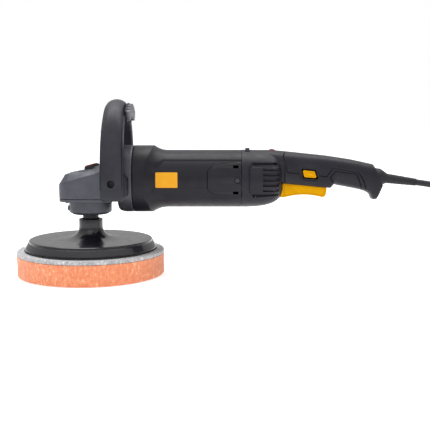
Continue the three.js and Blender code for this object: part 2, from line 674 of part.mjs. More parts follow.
// Each screw runs from a hole in the right shell towards the left shell's inner wall.
function makeShellScrews() {
  SHELL_SCREWS.forEach(([x, z, skinY], i) => {
    const head = rodY(1.9, skinY - 4.5, skinY - 1.5, x, z, 8);
    const shank = rodY(1.2, -8, skinY - 3, x, z, 8);
    addPart(`shell_screw_${i + 1}`, join(head, shank), 'blackSteel');
  });
}

function makeTrigger() {
  const outline = [
    [234.7, 95.2], [245, 97.2], [263.5, 99.1], [284, 96.8], [289.7, 96], [292.8, 99], [294.2, 106.2],
    [290, 111.8], [251, 117], [247.5, 121.6], [241.5, 121.6], [241, 112],
  ];
  const { halfWidth, pivotX, pivotZ, pinR } = TRIGGER;
  const body = cut(slabY(outline, -halfWidth, halfWidth), rodY(pinR + 0.4, -20, 20, pivotX, pivotZ, 8));
  addPart('trigger', body, 'yellow');
  addPart('trigger_pin', rodY(pinR, -12.8, 12.8, pivotX, pivotZ, 8), 'steel');
}

function makeControls() {
  addPart('lock_button', slabY(LOCK_BUTTON_OUTLINE, -19.5, -13.8), 'yellow');
  addPart('switch_body', box([252, 284], [-10, 10], [123, 138]), 'darkPlastic');
  addPart('speed_dial', ringX(DIAL.holeR, DIAL.r, DIAL.front, DIAL.rear, DIAL.z, 24), 'softRubber');
  addPart('control_module', join(
    box([199, 225], [-9.5, 9.5], [134, 148.6]),
    rodX(1.5, 192.8, 200, DIAL.z, 12),
  ), 'darkPlastic');
  addPart('indicator_lens', box([221.5, 229], [-3.1, 3.1], [149.5, 154]), 'red');
}

// ---------------------------------------------------------------- cord, coil and plug

function makeCordGuard() {
  const length = (GUARD.tip - GUARD.base) / Math.cos(THREE.MathUtils.degToRad(GUARD.slope));
  const guard = turnedX([
    [0, -length], [6.4, -length], [6.4, -length + 6.6], [9.8, -length + 6.6], [9.3, -length + 8.4],
    [6.3, -length + 11.5], [GUARD.sleeveR, -length + 13], [GUARD.tipR, 0], [0, 0],
  ], 0, SMALL_SIDES);
  guard.rotateY(THREE.MathUtils.degToRad(GUARD.slope)).translate(GUARD.tip, 0, GUARD.tipZ);
  addPart('cord_guard', guard, 'softRubber');
}

// A cord follows the points given in a smooth curve, with a step about every 20 mm.
function cordTube(points) {
  const curve = new THREE.CatmullRomCurve3(points.map((point) => new THREE.Vector3(...point)), false, 'centripetal');
  const section = new THREE.Shape(arc(0, 0, CORD.d / 2, 0, 315, 7).map(([x, y]) => new THREE.Vector2(x, y)));
  const steps = Math.ceil(curve.getLength() / 18);
  return new THREE.ExtrudeGeometry(section, { extrudePath: curve, steps, bevelEnabled: false });
}

const LEAD_ROUTE = [
  [390.5, 0, 115.3], [406, 0, 113.3], [421, 0, 111.1], [436, 0, 107.6], [450, 0, 101.8], [463, 0, 93],
  [474, 0, 81.8], [484, 0, 68.8], [494, 0, 55.8], [505, 0, 44.6], [517, 0, 35.8], [530, 0, 30.4],
  [545, 0, 28], [560, 0, 27.6],
];

const TAIL_ROUTE = [[531.5, -94.1, 4.1], [519, -95, 4.3], [506, -96.5, 5.5], [495, -97.5, 7.2], [484, -98, 8]];

function makeCord() {
  const { d, columns, layers, coilX, coilY } = CORD;
  addPart('cord_lead', cordTube(LEAD_ROUTE), 'softRubber');
  addPart('cord_coil', ringZ(columns[0] - d / 2, columns[2] + d / 2, 0, d * layers)
    .translate(coilX, coilY, 0), 'softRubber');
  addPart('cord_tail', cordTube(TAIL_ROUTE), 'softRubber');
}

// A flat two-pin plug that lies on the surface, its pins pointing along -X.
function makePlug() {
  const outline = [
    [482.6, 4.5], [474, 7], [470, 13], [462, 17], [446, 17], [443, 13.5], [443, -13.5], [446, -17],
    [462, -17], [470, -13], [474, -7], [482.6, -4.5],
  ].map(([x, y]) => [x, y + CORD.plugY]);
  const pins = [-9.5, 9.5].map((y) => rodX(2.4, 424, 444, 8.2, 12).translate(0, y + CORD.plugY, 0));
  addPart('plug', join(slabZ(outline, 0.1, 16.3), ...pins), 'softRubber');
}

// ---------------------------------------------------------------- the whole tool

makePad();
makeBackingPlate();
makeSpindle();
makeCrownGear();
makePinionShaft();
makeBearings();
makeGearHousing();
makeBearingCover();
makeSpindleLock();
makeGearFlange();
makeLoopHandle();
makeGripInsert();
makeMotorHousing();
makeSidePlates();
makeArmature();
makeStator();
makeBrushes();
makeRearBearingPlate();
makeRearShells();
makeShellScrews();
makeTrigger();
makeControls();
makeCordGuard();
makeCord();
makePlug();

export default model;
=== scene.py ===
import json
import math

import bmesh
import bpy
import numpy as np
from mathutils import Matrix, Vector, noise


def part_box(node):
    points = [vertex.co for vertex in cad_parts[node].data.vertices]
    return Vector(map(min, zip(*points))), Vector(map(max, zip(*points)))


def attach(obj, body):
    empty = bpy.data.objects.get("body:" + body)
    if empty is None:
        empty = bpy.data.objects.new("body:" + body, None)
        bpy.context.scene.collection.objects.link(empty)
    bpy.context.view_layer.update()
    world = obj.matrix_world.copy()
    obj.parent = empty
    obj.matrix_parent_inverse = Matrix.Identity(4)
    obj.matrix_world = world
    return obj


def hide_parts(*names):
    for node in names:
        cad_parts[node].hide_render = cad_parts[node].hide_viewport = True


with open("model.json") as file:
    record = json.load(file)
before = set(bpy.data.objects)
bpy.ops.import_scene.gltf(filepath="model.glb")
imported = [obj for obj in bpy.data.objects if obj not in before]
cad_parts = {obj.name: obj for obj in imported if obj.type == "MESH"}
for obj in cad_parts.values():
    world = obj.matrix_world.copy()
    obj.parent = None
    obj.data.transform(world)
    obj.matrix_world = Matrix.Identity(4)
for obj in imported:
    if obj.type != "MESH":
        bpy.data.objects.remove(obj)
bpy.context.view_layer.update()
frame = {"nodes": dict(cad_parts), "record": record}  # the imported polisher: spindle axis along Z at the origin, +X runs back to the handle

SCENE = bpy.context.scene
MM = 0.001  # the shapes below are written in millimetres and built in metres


def box_mm(node):
    low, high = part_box(node)
    return np.array(low) / MM, np.array(high) / MM


# ---- sizes taken from the frame

FOAM_LOW, FOAM_HIGH = box_mm("foam_pad")
LAYER_LOW, LAYER_HIGH = box_mm("pad_interface_layer")
HOOK_LOW, HOOK_HIGH = box_mm("hook_and_loop_disc")
PLATE_LOW, PLATE_HIGH = box_mm("backing_plate")
SPINDLE_LOW, SPINDLE_HIGH = box_mm("spindle")
COVER_LOW, COVER_HIGH = box_mm("spindle_bearing_cover")
HEAD_LOW, HEAD_HIGH = box_mm("gear_housing")
FLANGE_LOW, FLANGE_HIGH = box_mm("gear_flange")
LOOP_LOW, LOOP_HIGH = box_mm("d_handle")
INSERT_LOW, INSERT_HIGH = box_mm("d_handle_grip_insert")
MOTOR_LOW, MOTOR_HIGH = box_mm("motor_housing")
SHELL_LOW, SHELL_HIGH = box_mm("rear_shell_left")
DIAL_LOW, DIAL_HIGH = box_mm("speed_dial")
LENS_LOW, LENS_HIGH = box_mm("indicator_lens")
GUARD_LOW, GUARD_HIGH = box_mm("cord_guard")
COIL_LOW, COIL_HIGH = box_mm("cord_coil")
PLUG_LOW, PLUG_HIGH = box_mm("plug")

AXIS_Z = (MOTOR_LOW[2] + MOTOR_HIGH[2]) / 2  # height of the motor's axis
COLLAR_R = (MOTOR_HIGH[2] - MOTOR_LOW[2]) / 2
BARREL_R = 35.3
PANEL_R = 34.4
NECK_R = 14.8
BOLT_X, BOLT_Z = 34.2, 116.3
BOLT = (BOLT_X, 0, BOLT_Z)
BRUSH_SCREW = (182, 0, AXIS_Z)
SHELL_SCREWS = [(204, 94, 24.5), (306, 128, 17.6)]  # x, z and how far out the head sits
CORD_D = 7.8


# ---- mesh helpers

def rounded(points, radius, steps=4, is_closed=True):
    """The outline with each corner replaced by an arc. radius is one number, or one for each corner."""
    count = len(points)
    radii = radius if hasattr(radius, "__len__") else [radius] * count
    result = []
    for i, point in enumerate(points):
        p = np.array(point, float)
        if (not is_closed and i in (0, count - 1)) or radii[i] <= 0:
            result.append(p)
            continue
        before = np.array(points[i - 1], float) - p
        after = np.array(points[(i + 1) % count], float) - p
        long_before, long_after = np.linalg.norm(before), np.linalg.norm(after)
        before, after = before / long_before, after / long_after
        half = math.acos(max(-1, min(1, float(before @ after)))) / 2
        if half > math.radians(88):
            result.append(p)
            continue
        reach = min(radii[i] / math.tan(half), long_before * 0.48, long_after * 0.48)
        r = reach * math.tan(half)
        middle = (before + after) / np.linalg.norm(before + after)
        centre = p + middle * (r / math.sin(half))
        start, end = p + before * reach - centre, p + after * reach - centre
        turn = math.atan2(start[0] * end[1] - start[1] * end[0], float(start @ end))
        for k in range(steps + 1):
            a = turn * k / steps
            result.append(centre + [start[0] * math.cos(a) - start[1] * math.sin(a),
                                    start[0] * math.sin(a) + start[1] * math.cos(a)])
    return [tuple(p) for p in result]


def smooth_line(points, per_span=6):
    """A Catmull-Rom curve through the points."""
    p = np.array(points, float)
    p = np.vstack([2 * p[0] - p[1], p, 2 * p[-1] - p[-2]])
    result = []
    for i in range(1, len(p) - 2):
        for k in range(per_span):
            t = k / per_span
            result.append(0.5 * (2 * p[i] + (p[i + 1] - p[i - 1]) * t
                                 + (2 * p[i - 1] - 5 * p[i] + 4 * p[i + 1] - p[i + 2]) * t * t
                                 + (3 * p[i] - p[i - 1] - 3 * p[i + 1] + p[i + 2]) * t ** 3))
    result.append(p[-2])
    return np.array(result)


def arc(cx, cy, r, start, end, steps):
    angles = np.radians(np.linspace(start, end, steps + 1))
    return [(cx + r * math.cos(a), cy + r * math.sin(a)) for a in angles]


def mesh_of(verts, faces):
    """A mesh in metres from points in millimetres, its faces turned outwards."""
    mesh = bpy.data.meshes.new("shape")
    mesh.from_pydata([tuple(v) for v in np.array(verts, float) * MM], [], [tuple(f) for f in faces])
    bm = bmesh.new()
    bm.from_mesh(mesh)
    bmesh.ops.remove_doubles(bm, verts=bm.verts, dist=1e-7)
    bmesh.ops.recalc_face_normals(bm, faces=bm.faces)
    bm.to_mesh(mesh)
    bm.free()
    return mesh


def grid_faces(rows, columns, wraps=False):
    """Quads over rows x columns points. wraps joins the last column to the first."""
    faces = []
    last = columns if wraps else columns - 1
    for i in range(rows - 1):
        for j in range(last):
            k = (j + 1) % columns
            faces.append((i * columns + j, i * columns + k, (i + 1) * columns + k, (i + 1) * columns + j))
    return faces


def loft(rings):
    """A closed solid through rings of points, with a flat face at each end."""
    rings = np.array(rings, float)
    rows, columns = rings.shape[:2]
    faces = grid_faces(rows, columns, wraps=True)
    faces.append(tuple(range(columns)))
    faces.append(tuple(range((rows - 1) * columns, rows * columns)))
    return mesh_of(rings.reshape(-1, 3), faces)


def turned(profile, axis="Z", centre=(0, 0, 0), segments=96, is_ring=False):
    """A solid of revolution from (radius, height) points. A ring's profile closes on itself."""
    points = [tuple(p) for p in profile]
    if is_ring:
        points.append(points[0])
    angles = np.arange(segments) * 2 * math.pi / segments
    rings = []
    for r, h in points:
        r = max(r, 0)
        u, v = r * np.cos(angles), r * np.sin(angles)
        flat = np.full(segments, float(h))
        rings.append(np.stack({"X": [flat, u, v], "Y": [v, flat, u], "Z": [u, v, flat]}[axis], 1))
    rings = np.array(rings) + np.array(centre, float)
    return mesh_of(rings.reshape(-1, 3), grid_faces(len(points), segments, wraps=True))


def on_side(side, near, far):
    """The stretch of Y from near to far on one side of the tool, lower end first."""
    return sorted((side * near, side * far))


def prism(outline, start, end, axis="Y"):
    """An outline extruded along axis. Its points are (x, z) for Y, (x, y) for Z and (y, z) for X."""
    def place(p, h):
        return {"X": (h, p[0], p[1]), "Y": (p[0], h, p[1]), "Z": (p[0], p[1], h)}[axis]
    count = len(outline)
    verts = [place(p, start) for p in outline] + [place(p, end) for p in outline]
    faces = [(i, (i + 1) % count, count + (i + 1) % count, count + i) for i in range(count)]
    faces += [tuple(range(count)), tuple(range(count, 2 * count))]
    return mesh_of(verts, faces)


def block(x, y, z):
    return prism([(x[0], z[0]), (x[1], z[0]), (x[1], z[1]), (x[0], z[1])], y[0], y[1])


def moved(mesh, matrix):
    mesh.transform(matrix)
    return mesh


def merged(*meshes):
    """Several meshes as one, without joining their surfaces."""
    bm = bmesh.new()
    for mesh in meshes:
        bm.from_mesh(mesh)
    result = bpy.data.meshes.new("merged")
    bm.to_mesh(result)
    bm.free()
    return result


def baked(mesh, *modifiers):
    """The mesh with modifiers applied, each given as (type, settings)."""
    holder = bpy.data.objects.new("holder", mesh)
    SCENE.collection.objects.link(holder)
    for kind, settings in modifiers:
        modifier = holder.modifiers.new(kind.lower(), kind)
        for key, value in settings.items():
            setattr(modifier, key, value)
    bpy.context.view_layer.update()
    result = bpy.data.meshes.new_from_object(holder.evaluated_get(bpy.context.evaluated_depsgraph_get()))
    bpy.data.objects.remove(holder)
    return result


def boolean(mesh, tool, operation):
    """Cuts, joins or intersects by the fast solver, or by the exact one where a mesh isn't closed."""
    other = bpy.data.objects.new("tool", tool)
    SCENE.collection.objects.link(other)
    for solver in ("MANIFOLD", "EXACT"):
        result = baked(mesh.copy(), ("BOOLEAN", {"object": other, "operation": operation, "solver": solver}))
        if len(result.vertices) != len(mesh.vertices):
            break
    bpy.data.objects.remove(other)
    return result


def carved(mesh, *tools):
    for tool in tools:
        mesh = boolean(mesh, tool, "DIFFERENCE")
    return mesh


def joined(mesh, *others):
    for other in others:
        mesh = boolean(mesh, other, "UNION")
    return mesh


def common(mesh, other):
    return boolean(mesh, other, "INTERSECT")


def softened(mesh, width, segments=2, angle=28):
    """Rounds the edges sharper than angle by width millimetres."""
    return baked(mesh, ("BEVEL", {"width": width * MM, "segments": segments, "limit_method": "ANGLE",
                                  "angle_limit": math.radians(angle), "miter_outer": "MITER_ARC",
                                  "use_clamp_overlap": True}))


def cast(mesh, voxel, passes):
    """A casting's form: remeshed in voxels and smoothed, so that every edge is a small fillet."""
    return baked(mesh,
                 ("REMESH", {"mode": "VOXEL", "voxel_size": voxel * MM}),
                 ("SMOOTH", {"factor": 0.5, "iterations": passes}))


# ---- materials

def rgb(*values):
    """sRGB 0-255 as the linear colour that Blender works in."""
    return tuple((v / 255 / 12.92) if v / 255 <= 0.04045 else ((v / 255 + 0.055) / 1.055) ** 2.4
                 for v in values) + (1.0,)


class Nodes:
    """A material's node tree, with short calls to add and link nodes."""

    def __init__(self, name):
        self.material = bpy.data.materials.new(name)
        self.material.use_nodes = True
        self.tree = self.material.node_tree
        self.shader = self.tree.nodes["Principled BSDF"]
        self.place = self.add("ShaderNodeTexCoord").outputs["Object"]

    def add(self, kind, inputs=(), **settings):
        made = self.tree.nodes.new(kind)
        for key, value in settings.items():
            setattr(made, key, value)
        for key, value in dict(inputs).items():
            if isinstance(value, bpy.types.NodeSocket):
                self.tree.links.new(value, made.inputs[key])
            else:
                made.inputs[key].default_value = value
        return made

    def stretched(self, *scale):
        return self.add("ShaderNodeMapping", {"Vector": self.place, "Scale": scale}).outputs["Vector"]

    def noise(self, scale, detail=3.0, vector=None, rough=0.5):
        return self.add("ShaderNodeTexNoise", {
            "Vector": vector or self.place, "Scale": scale, "Detail": detail, "Roughness": rough,
        }).outputs["Fac"]

    def cells(self, scale):
        return self.add("ShaderNodeTexVoronoi", {"Vector": self.place, "Scale": scale}).outputs["Distance"]

    def fit(self, value, low, high, to_low, to_high):
        return self.add("ShaderNodeMapRange", {
            "Value": value, "From Min": low, "From Max": high, "To Min": to_low, "To Max": to_high,
        }).outputs["Result"]

    def mix(self, factor, first, second):
        made = self.add("ShaderNodeMix", data_type="RGBA")
        for socket, value in ((made.inputs[0], factor), (made.inputs[6], first), (made.inputs[7], second)):
            if isinstance(value, bpy.types.NodeSocket):
                self.tree.links.new(value, socket)
            else:
                socket.default_value = value
        return made.outputs[2]

    def bump(self, height, distance, strength=1.0, below=None):
        inputs = {"Height": height, "Distance": distance, "Strength": strength}
        if below is not None:
            inputs["Normal"] = below
        return self.add("ShaderNodeBump", inputs).outputs["Normal"]

    def set(self, key, value):
        if isinstance(value, bpy.types.NodeSocket):
            self.tree.links.new(value, self.shader.inputs[key])
        else:
            self.shader.inputs[key].default_value = value


def moulded(name, dark, light, rough, grain, height, lighter_edge_colour=None, specular=0.5):
    """Moulded plastic or rubber: a fine grain, faint clouding and, given an edge colour, lighter edges:
    rubbing wear on most parts, a painted highlight along the grip insert's ribs.
    """
    n = Nodes(name)
    cloud = n.noise(38, 4)
    base = n.mix(n.fit(cloud, 0.35, 0.65, 0, 1), dark, light)
    if lighter_edge_colour:
        # Edges lightened by pointiness: rubbing wear, and on the rib_rubber ribs a painted highlight.
        edge = n.add("ShaderNodeNewGeometry").outputs["Pointiness"]
        edge_wear_and_highlight = n.fit(edge, 0.53, 0.62, 0, 0.6)
        base = n.mix(edge_wear_and_highlight, base, lighter_edge_colour)
    n.set("Base Color", base)
    n.set("Roughness", n.fit(n.noise(120, 3), 0.3, 0.7, rough - 0.06, rough + 0.06))
    n.set("Normal", n.bump(n.noise(grain, 2), height * MM))
    n.set("Specular IOR Level", specular)
    return n.material


def metal(name, dark, light, rough=0.3, brushed=(1, 1, 1), grain=900, height=0.012, metallic=1.0):
    """Machined or blackened steel, copper or brass, with fine tool marks along one direction."""
    n = Nodes(name)
    marks = n.noise(grain, 4, n.stretched(*brushed))
    cloud = n.noise(70, 3)
    n.set("Base Color", n.mix(n.fit(cloud, 0.3, 0.7, 0, 1), dark, light))
    n.set("Metallic", metallic)
    n.set("Roughness", n.fit(marks, 0.3, 0.7, rough - 0.08, rough + 0.08))
    n.set("Normal", n.bump(marks, height * MM))
    return n.material


def casting(name, dark, light, rough, lighter_edge_colour):
    """Painted light-alloy casting: a shallow orange-peel under a fine sand grain."""
    n = Nodes(name)
    base = n.mix(n.fit(n.noise(55, 4), 0.35, 0.65, 0, 1), dark, light)
    edge = n.add("ShaderNodeNewGeometry").outputs["Pointiness"]
    n.set("Base Color", n.mix(n.fit(edge, 0.53, 0.62, 0, 0.5), base, lighter_edge_colour))
    n.set("Metallic", 0.35)
    n.set("Roughness", n.fit(n.noise(200, 3), 0.3, 0.7, rough - 0.07, rough + 0.07))
    peel = n.bump(n.noise(240, 2), 0.05 * MM)
    n.set("Normal", n.bump(n.noise(1300, 3), 0.03 * MM, 1.0, peel))
    return n.material


def foam(name, dark_tone_and_pore_shade, base, light, cell=620):
    """Open-cell foam: pores a millimetre or two across, with painted shade darkening their floors below their
    rims.
    """
    n = Nodes(name)
    pores = n.cells(cell)
    small = n.cells(cell * 2.1)
    streaks = n.noise(330, 3, n.stretched(1.0, 1.0, 0.6), 0.6)
    tone = n.mix(n.fit(streaks, 0.38, 0.54, 0, 1), dark_tone_and_pore_shade, base)
    tone = n.mix(n.fit(streaks, 0.58, 0.68, 0, 0.85), tone, light)
    # Painted shade: each pore's floor is darkened toward the dark tone.
    tone = n.mix(n.fit(pores, 0.12, 0.34, 0.35, 0), tone, dark_tone_and_pore_shade)
    n.set("Base Color", tone)
    n.set("Roughness", n.fit(small, 0.0, 0.8, 0.86, 0.98))
    n.set("Sheen Weight", 0.25)
    n.set("Subsurface Weight", 0.08)
    n.set("Subsurface Scale", 0.004)
    n.set("Normal", n.bump(small, 0.25 * MM, 0.7, n.bump(pores, 0.6 * MM, 0.8)))
    return n.material


def fringe(name, dark, light):
    """The cut edge of hook-and-loop tape: short fibres that stand on end."""
    n = Nodes(name)
    fibres = n.noise(1500, 4, n.stretched(1, 1, 0.3), 0.7)
    n.set("Base Color", n.mix(n.fit(fibres, 0.45, 0.75, 0, 1), dark, light))
    n.set("Roughness", n.fit(n.noise(300, 2), 0.3, 0.7, 0.88, 0.98))
    n.set("Sheen Weight", 0.3)
    n.set("Normal", n.bump(fibres, 0.4 * MM))
    return n.material


def lens(name, dark, light):
    n = Nodes(name)
    n.set("Base Color", n.mix(n.fit(n.noise(160, 2), 0.35, 0.65, 0, 1), dark, light))
    n.set("Roughness", n.fit(n.noise(400, 2), 0.3, 0.7, 0.16, 0.26))
    n.set("Normal", n.bump(n.noise(700, 2), 0.01 * MM))
    n.set("Coat Weight", 0.6)
    return n.material


MATERIALS = {
    "orange_foam": foam("orange_foam", rgb(216, 126, 86), rgb(226, 142, 102), rgb(246, 190, 150)),
    "grey_foam": foam("grey_foam", rgb(150, 150, 152), rgb(180, 180, 182), rgb(226, 226, 228), 800),
    "hook_layer": fringe("hook_layer", rgb(8, 8, 10), rgb(30, 30, 34)),
    "plate_plastic": moulded("plate_plastic", rgb(24, 23, 29), rgb(26, 25, 31), 0.2, 900, 0.0002),
    "steel": metal("steel", rgb(168, 170, 174), rgb(196, 198, 202), 0.28, (1, 1, 8)),
    "black_steel": metal("black_steel", rgb(16, 16, 19), rgb(34, 34, 38), 0.42, metallic=0.6),
    "core_steel": metal("core_steel", rgb(118, 120, 124), rgb(150, 152, 156), 0.4, (60, 1, 1), 60),
    "copper": metal("copper", rgb(150, 82, 44), rgb(204, 122, 74), 0.34, (1, 1, 1), 500, 0.05),
    "brass": metal("brass", rgb(176, 146, 84), rgb(208, 178, 112), 0.26, (1, 8, 8)),
    "carbon": moulded("carbon", rgb(26, 26, 26), rgb(48, 48, 48), 0.7, 1100, 0.05),
    "cast_grey": casting("cast_grey", rgb(64, 66, 73), rgb(74, 76, 84), 0.46, rgb(108, 110, 120)),
    "flange_grey": casting("flange_grey", rgb(58, 58, 65), rgb(70, 70, 77), 0.42, rgb(110, 110, 120)),
    "loop_plastic": moulded("loop_plastic", rgb(30, 30, 38), rgb(40, 40, 48), 0.44, 1200, 0.012,
                            lighter_edge_colour=rgb(84, 85, 94), specular=0.3),
    "motor_plastic": moulded("motor_plastic", rgb(19, 18, 25), rgb(25, 24, 31), 0.43, 1300, 0.012,
                             lighter_edge_colour=rgb(60, 60, 68), specular=0.22),
    "handle_plastic": moulded("handle_plastic", rgb(23, 22, 30), rgb(29, 28, 36), 0.43, 1300, 0.012,
                              lighter_edge_colour=rgb(62, 63, 71), specular=0.23),
    "soft_rubber": moulded("soft_rubber", rgb(22, 22, 26), rgb(32, 32, 37), 0.6, 1700, 0.04,
                           lighter_edge_colour=rgb(54, 54, 60), specular=0.3),
    # The ribs' near-white edge colour is a painted highlight along each rib, not wear.
    "rib_rubber": moulded("rib_rubber", rgb(58, 58, 64), rgb(72, 72, 78), 0.28, 1500, 0.006,
                          lighter_edge_colour=rgb(206, 206, 212)),
    "dark_screw": metal("dark_screw", rgb(48, 48, 53), rgb(66, 66, 72), 0.4, metallic=0.3),
    "amber_label": moulded("amber_label", rgb(214, 150, 32), rgb(220, 156, 38), 0.45, 2000, 0.004,
                           specular=0.12),
    "yellow_plastic": moulded("yellow_plastic", rgb(198, 140, 0), rgb(206, 146, 0), 0.5, 1500, 0.008,
                              lighter_edge_colour=rgb(240, 184, 0), specular=0.05),
    "red_plastic": moulded("red_plastic", rgb(116, 14, 16), rgb(134, 20, 22), 0.4, 1500, 0.012, specular=0.3),
    "red_lens": lens("red_lens", rgb(96, 8, 12), rgb(130, 18, 22)),
    "cord_rubber": moulded("cord_rubber", rgb(30, 30, 35), rgb(42, 42, 47), 0.48, 900, 0.02, specular=0.3),
    "plug_rubber": moulded("plug_rubber", rgb(30, 30, 34), rgb(42, 42, 47), 0.5, 1300, 0.03,
                           lighter_edge_colour=rgb(66, 66, 72), specular=0.35),
}

SLOT_OF = {part["node"]: part["material_slot"] for part in frame["record"]["subparts"]}


def show(name, mesh, slot, body, *stands_for, sharp=32):
    """Puts a finished mesh in the scene as a piece that moves with a body of the frame."""
    for polygon in mesh.polygons:
        polygon.use_smooth = True
    mesh.set_sharp_from_angle(angle=math.radians(sharp))
    mesh.materials.clear()
    mesh.materials.append(MATERIALS[slot])
    piece = bpy.data.objects.new(name, mesh)
    SCENE.collection.objects.link(piece)
    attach(piece, body)
    if stands_for:
        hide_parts(*stands_for)
    return piece


# ---- camera

CAMERA_PLACE = (0.1551, -0.9469, 0.1923)  # metres
CAMERA_DIP = 7.21  # degrees below level
CAMERA_LENS = 63.98


def make_camera():
    data = bpy.data.cameras.new("camera")
    data.lens = CAMERA_LENS
    data.sensor_width = 36
    data.clip_start = 0.01
    data.clip_end = 20
    camera = bpy.data.objects.new("camera", data)
    camera.location = CAMERA_PLACE
    camera.rotation_euler = (math.radians(90 - CAMERA_DIP), 0, 0)
    SCENE.collection.objects.link(camera)
    SCENE.camera = camera


# ---- cord, coil and plug

LEAD_ROUTE = [
    (390.3, 0, 115.3), (406, 0, 113.3), (421, 0, 111.1), (436, 0, 107.6), (450, 0, 101.8), (463, 0, 93),
    (474, 0, 81.8), (484, 0, 68.8), (494, 0, 55.8), (505, 0, 44.6), (517, 0, 35.8), (530, 0, 30.4),
    (545, 0, 28),
]
TAIL_ROUTE = [
    (531.5, -94.1, 4.1), (519, -95, 4.3), (506, -96.5, 5.5), (495, -97.5, 7.2), (484, -98, 8),
]


def coil_route():
    """Eight and a half turns in three columns: down the inner one, up the middle one, down the outer.

    Each turn moves to its place over a stretch of arc; the turns that round a corner of the stack
    do so a little after the turn that leaves it, which keeps them a diameter apart."""
    centre = (COIL_LOW + COIL_HIGH) / 2
    outer = (COIL_HIGH[0] - COIL_LOW[0]) / 2 - CORD_D / 2
    columns = [outer - 2 * CORD_D, outer - CORD_D, outer]
    layers = [COIL_LOW[2] + CORD_D * (k + 0.5) for k in range(3)]
    down, up = layers[::-1], layers
    places = [(columns[0], layers[2] + CORD_D)]
    for r, heights in zip(columns, (down, up, down)):
        places += [(r, z) for z in heights]
    moves_from = [112, 112, 112, 84, 56, 56, 28, 0, 0]  # degrees into the turn
    move_arc = 80
    steps = 30
    route = []
    for turn in range(9):
        (r0, z0), (r1, z1) = places[turn], places[turn + 1]
        for k in range(steps if turn < 8 else steps // 2 + 1):
            degrees = 360 * k / steps
            t = max(0.0, min(1.0, (degrees - moves_from[turn]) / move_arc))
            t = t * t * (3 - 2 * t)
            r, z = r0 + (r1 - r0) * t, z0 + (z1 - z0) * t
            a = math.radians(90 - degrees)
            route.append((centre[0] + r * math.cos(a), centre[1] + r * math.sin(a), z))
    return route


def make_plug():
    centre_y = (PLUG_LOW[1] + PLUG_HIGH[1]) / 2
    middle_z = (PLUG_LOW[2] + PLUG_HIGH[2]) / 2
    left, right = PLUG_HIGH[0] - 39.6, PLUG_HIGH[0]
    sections = [  # x, half width, half height
        (left, 14.2, 6.4), (left + 0.7, 15.4, 7.5), (left + 2.4, 16.6, 8), (left + 14, 17, 8.1),
        (left + 19, 16.6, 8.1), (left + 23.5, 14.6, 7.9), (left + 26.5, 12.4, 7.6), (left + 29, 9.2, 7),
        (left + 31.5, 6.9, 6.2), (left + 34, 5.7, 5.5), (right - 1.2, 5, 4.9), (right, 4.3, 4.3),
    ]
    xs = np.linspace(left, right, 110)
    table = np.array(sections)
    angles = np.linspace(0, 2 * math.pi, 64, endpoint=False)
    rings = []
    for x in xs:
        half_width, half_height = (np.interp(x, table[:, 0], table[:, k]) for k in (1, 2))
        grip = 0.45 if left + 5 < x < left + 20 and int((x - left - 5) / 1.5) % 2 else 0.0
        neck = 0.5 if x > left + 30.5 and int((x - left) / 1.3) % 2 else 0.0
        c, s = np.cos(angles), np.sin(angles)
        square = 2.0 / (3.4 if x < left + 26 else 2.3)
        sides = np.abs(c) ** 1.5
        y = (half_width - grip * sides - neck) * np.sign(c) * np.abs(c) ** square
        z = (half_height - neck) * np.sign(s) * np.abs(s) ** square
        rings.append(np.stack([np.full(64, x), centre_y + y, middle_z + z], 1))
    body = show("mains_plug_body", loft(rings), "plug_rubber", "tool_body", "plug", sharp=40)
    pins = []
    for y in (-9.5, 9.5):
        shank = turned([(0, 0.4), (1.2, 0.4), (2.0, 0.9), (2.4, 2.2), (2.4, 20.8), (0, 20.8)], "X",
                       (PLUG_LOW[0] - 0.4, centre_y + y, middle_z), 32)
        sleeve = turned([(2.35, 0), (2.75, 0.3), (2.75, 8), (2.35, 8.4)], "X",
                        (left - 8.2, centre_y + y, middle_z), 32, is_ring=True)
        pins += [shank, sleeve]
    pins = show("mains_plug_pins", merged(*pins), "brass", "tool_body")
    return [body, pins]


def make_cord():
    hand_made = LEAD_ROUTE + coil_route() + TAIL_ROUTE
    line = smooth_line(hand_made, 3) * MM
    data = bpy.data.curves.new("mains_cord", "CURVE")
    data.dimensions = "3D"
    data.bevel_depth = CORD_D / 2 * MM
    data.bevel_resolution = 5
    data.use_fill_caps = True
    spline = data.splines.new("POLY")
    spline.points.add(len(line) - 1)
    for point, place in zip(spline.points, line):
        point.co = (*place, 1)
    spline.use_smooth = True
    data.materials.append(MATERIALS["cord_rubber"])
    cord = bpy.data.objects.new("mains_cord", data)
    SCENE.collection.objects.link(cord)
    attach(cord, "tool_body")
    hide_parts("cord_lead", "cord_coil", "cord_tail")
    make_plug()


def make_cord_guard():
    """The strain relief: a cone that grows out of the handle's end, then a long tapering sleeve."""
    slope = math.radians(7.4)
    tip = np.array([GUARD_HIGH[0], 0, 115.4])
    cone_from, cone_to, sleeve_end = -40.0, -23.0, 14.0
    outline = [(0, cone_from), (11.0, cone_from), (11.0, -32.5), (7.4, cone_to - 2.6), (6.0, cone_to),
               (5.2, -2)]
    rings = []
    for k in range(5):  # flex grooves near the sleeve's end
        h = -1.5 + 2.6 * k
        r = 5.15 - 0.035 * (h + 2)
        rings += [(r, h), (r, h + 1.4), (r - 0.35, h + 1.6), (r - 0.35, h + 2.3)]
    mouth = [(4.65, sleeve_end - 1.6), (4.3, sleeve_end), (4.0, sleeve_end), (4.0, 8), (0, 8)]
    corners = [0, 0, 0.8, 1.6, 1.2, 0.2] + [0.12] * len(rings) + [0.3, 0.3, 0, 0, 0]
    profile = rounded(outline + rings + mouth, corners, 3, is_closed=False)
    place = Matrix.Translation(Vector(tip) * MM) @ Matrix.Rotation(slope, 4, "Y")
    show("cord_strain_relief", moved(turned(profile, "X", (0, 0, 0), 72), place), "soft_rubber", "tool_body",
         "cord_guard", sharp=38)


make_camera()
make_cord()
make_cord_guard()


# ---- pad, hook layer and backing plate

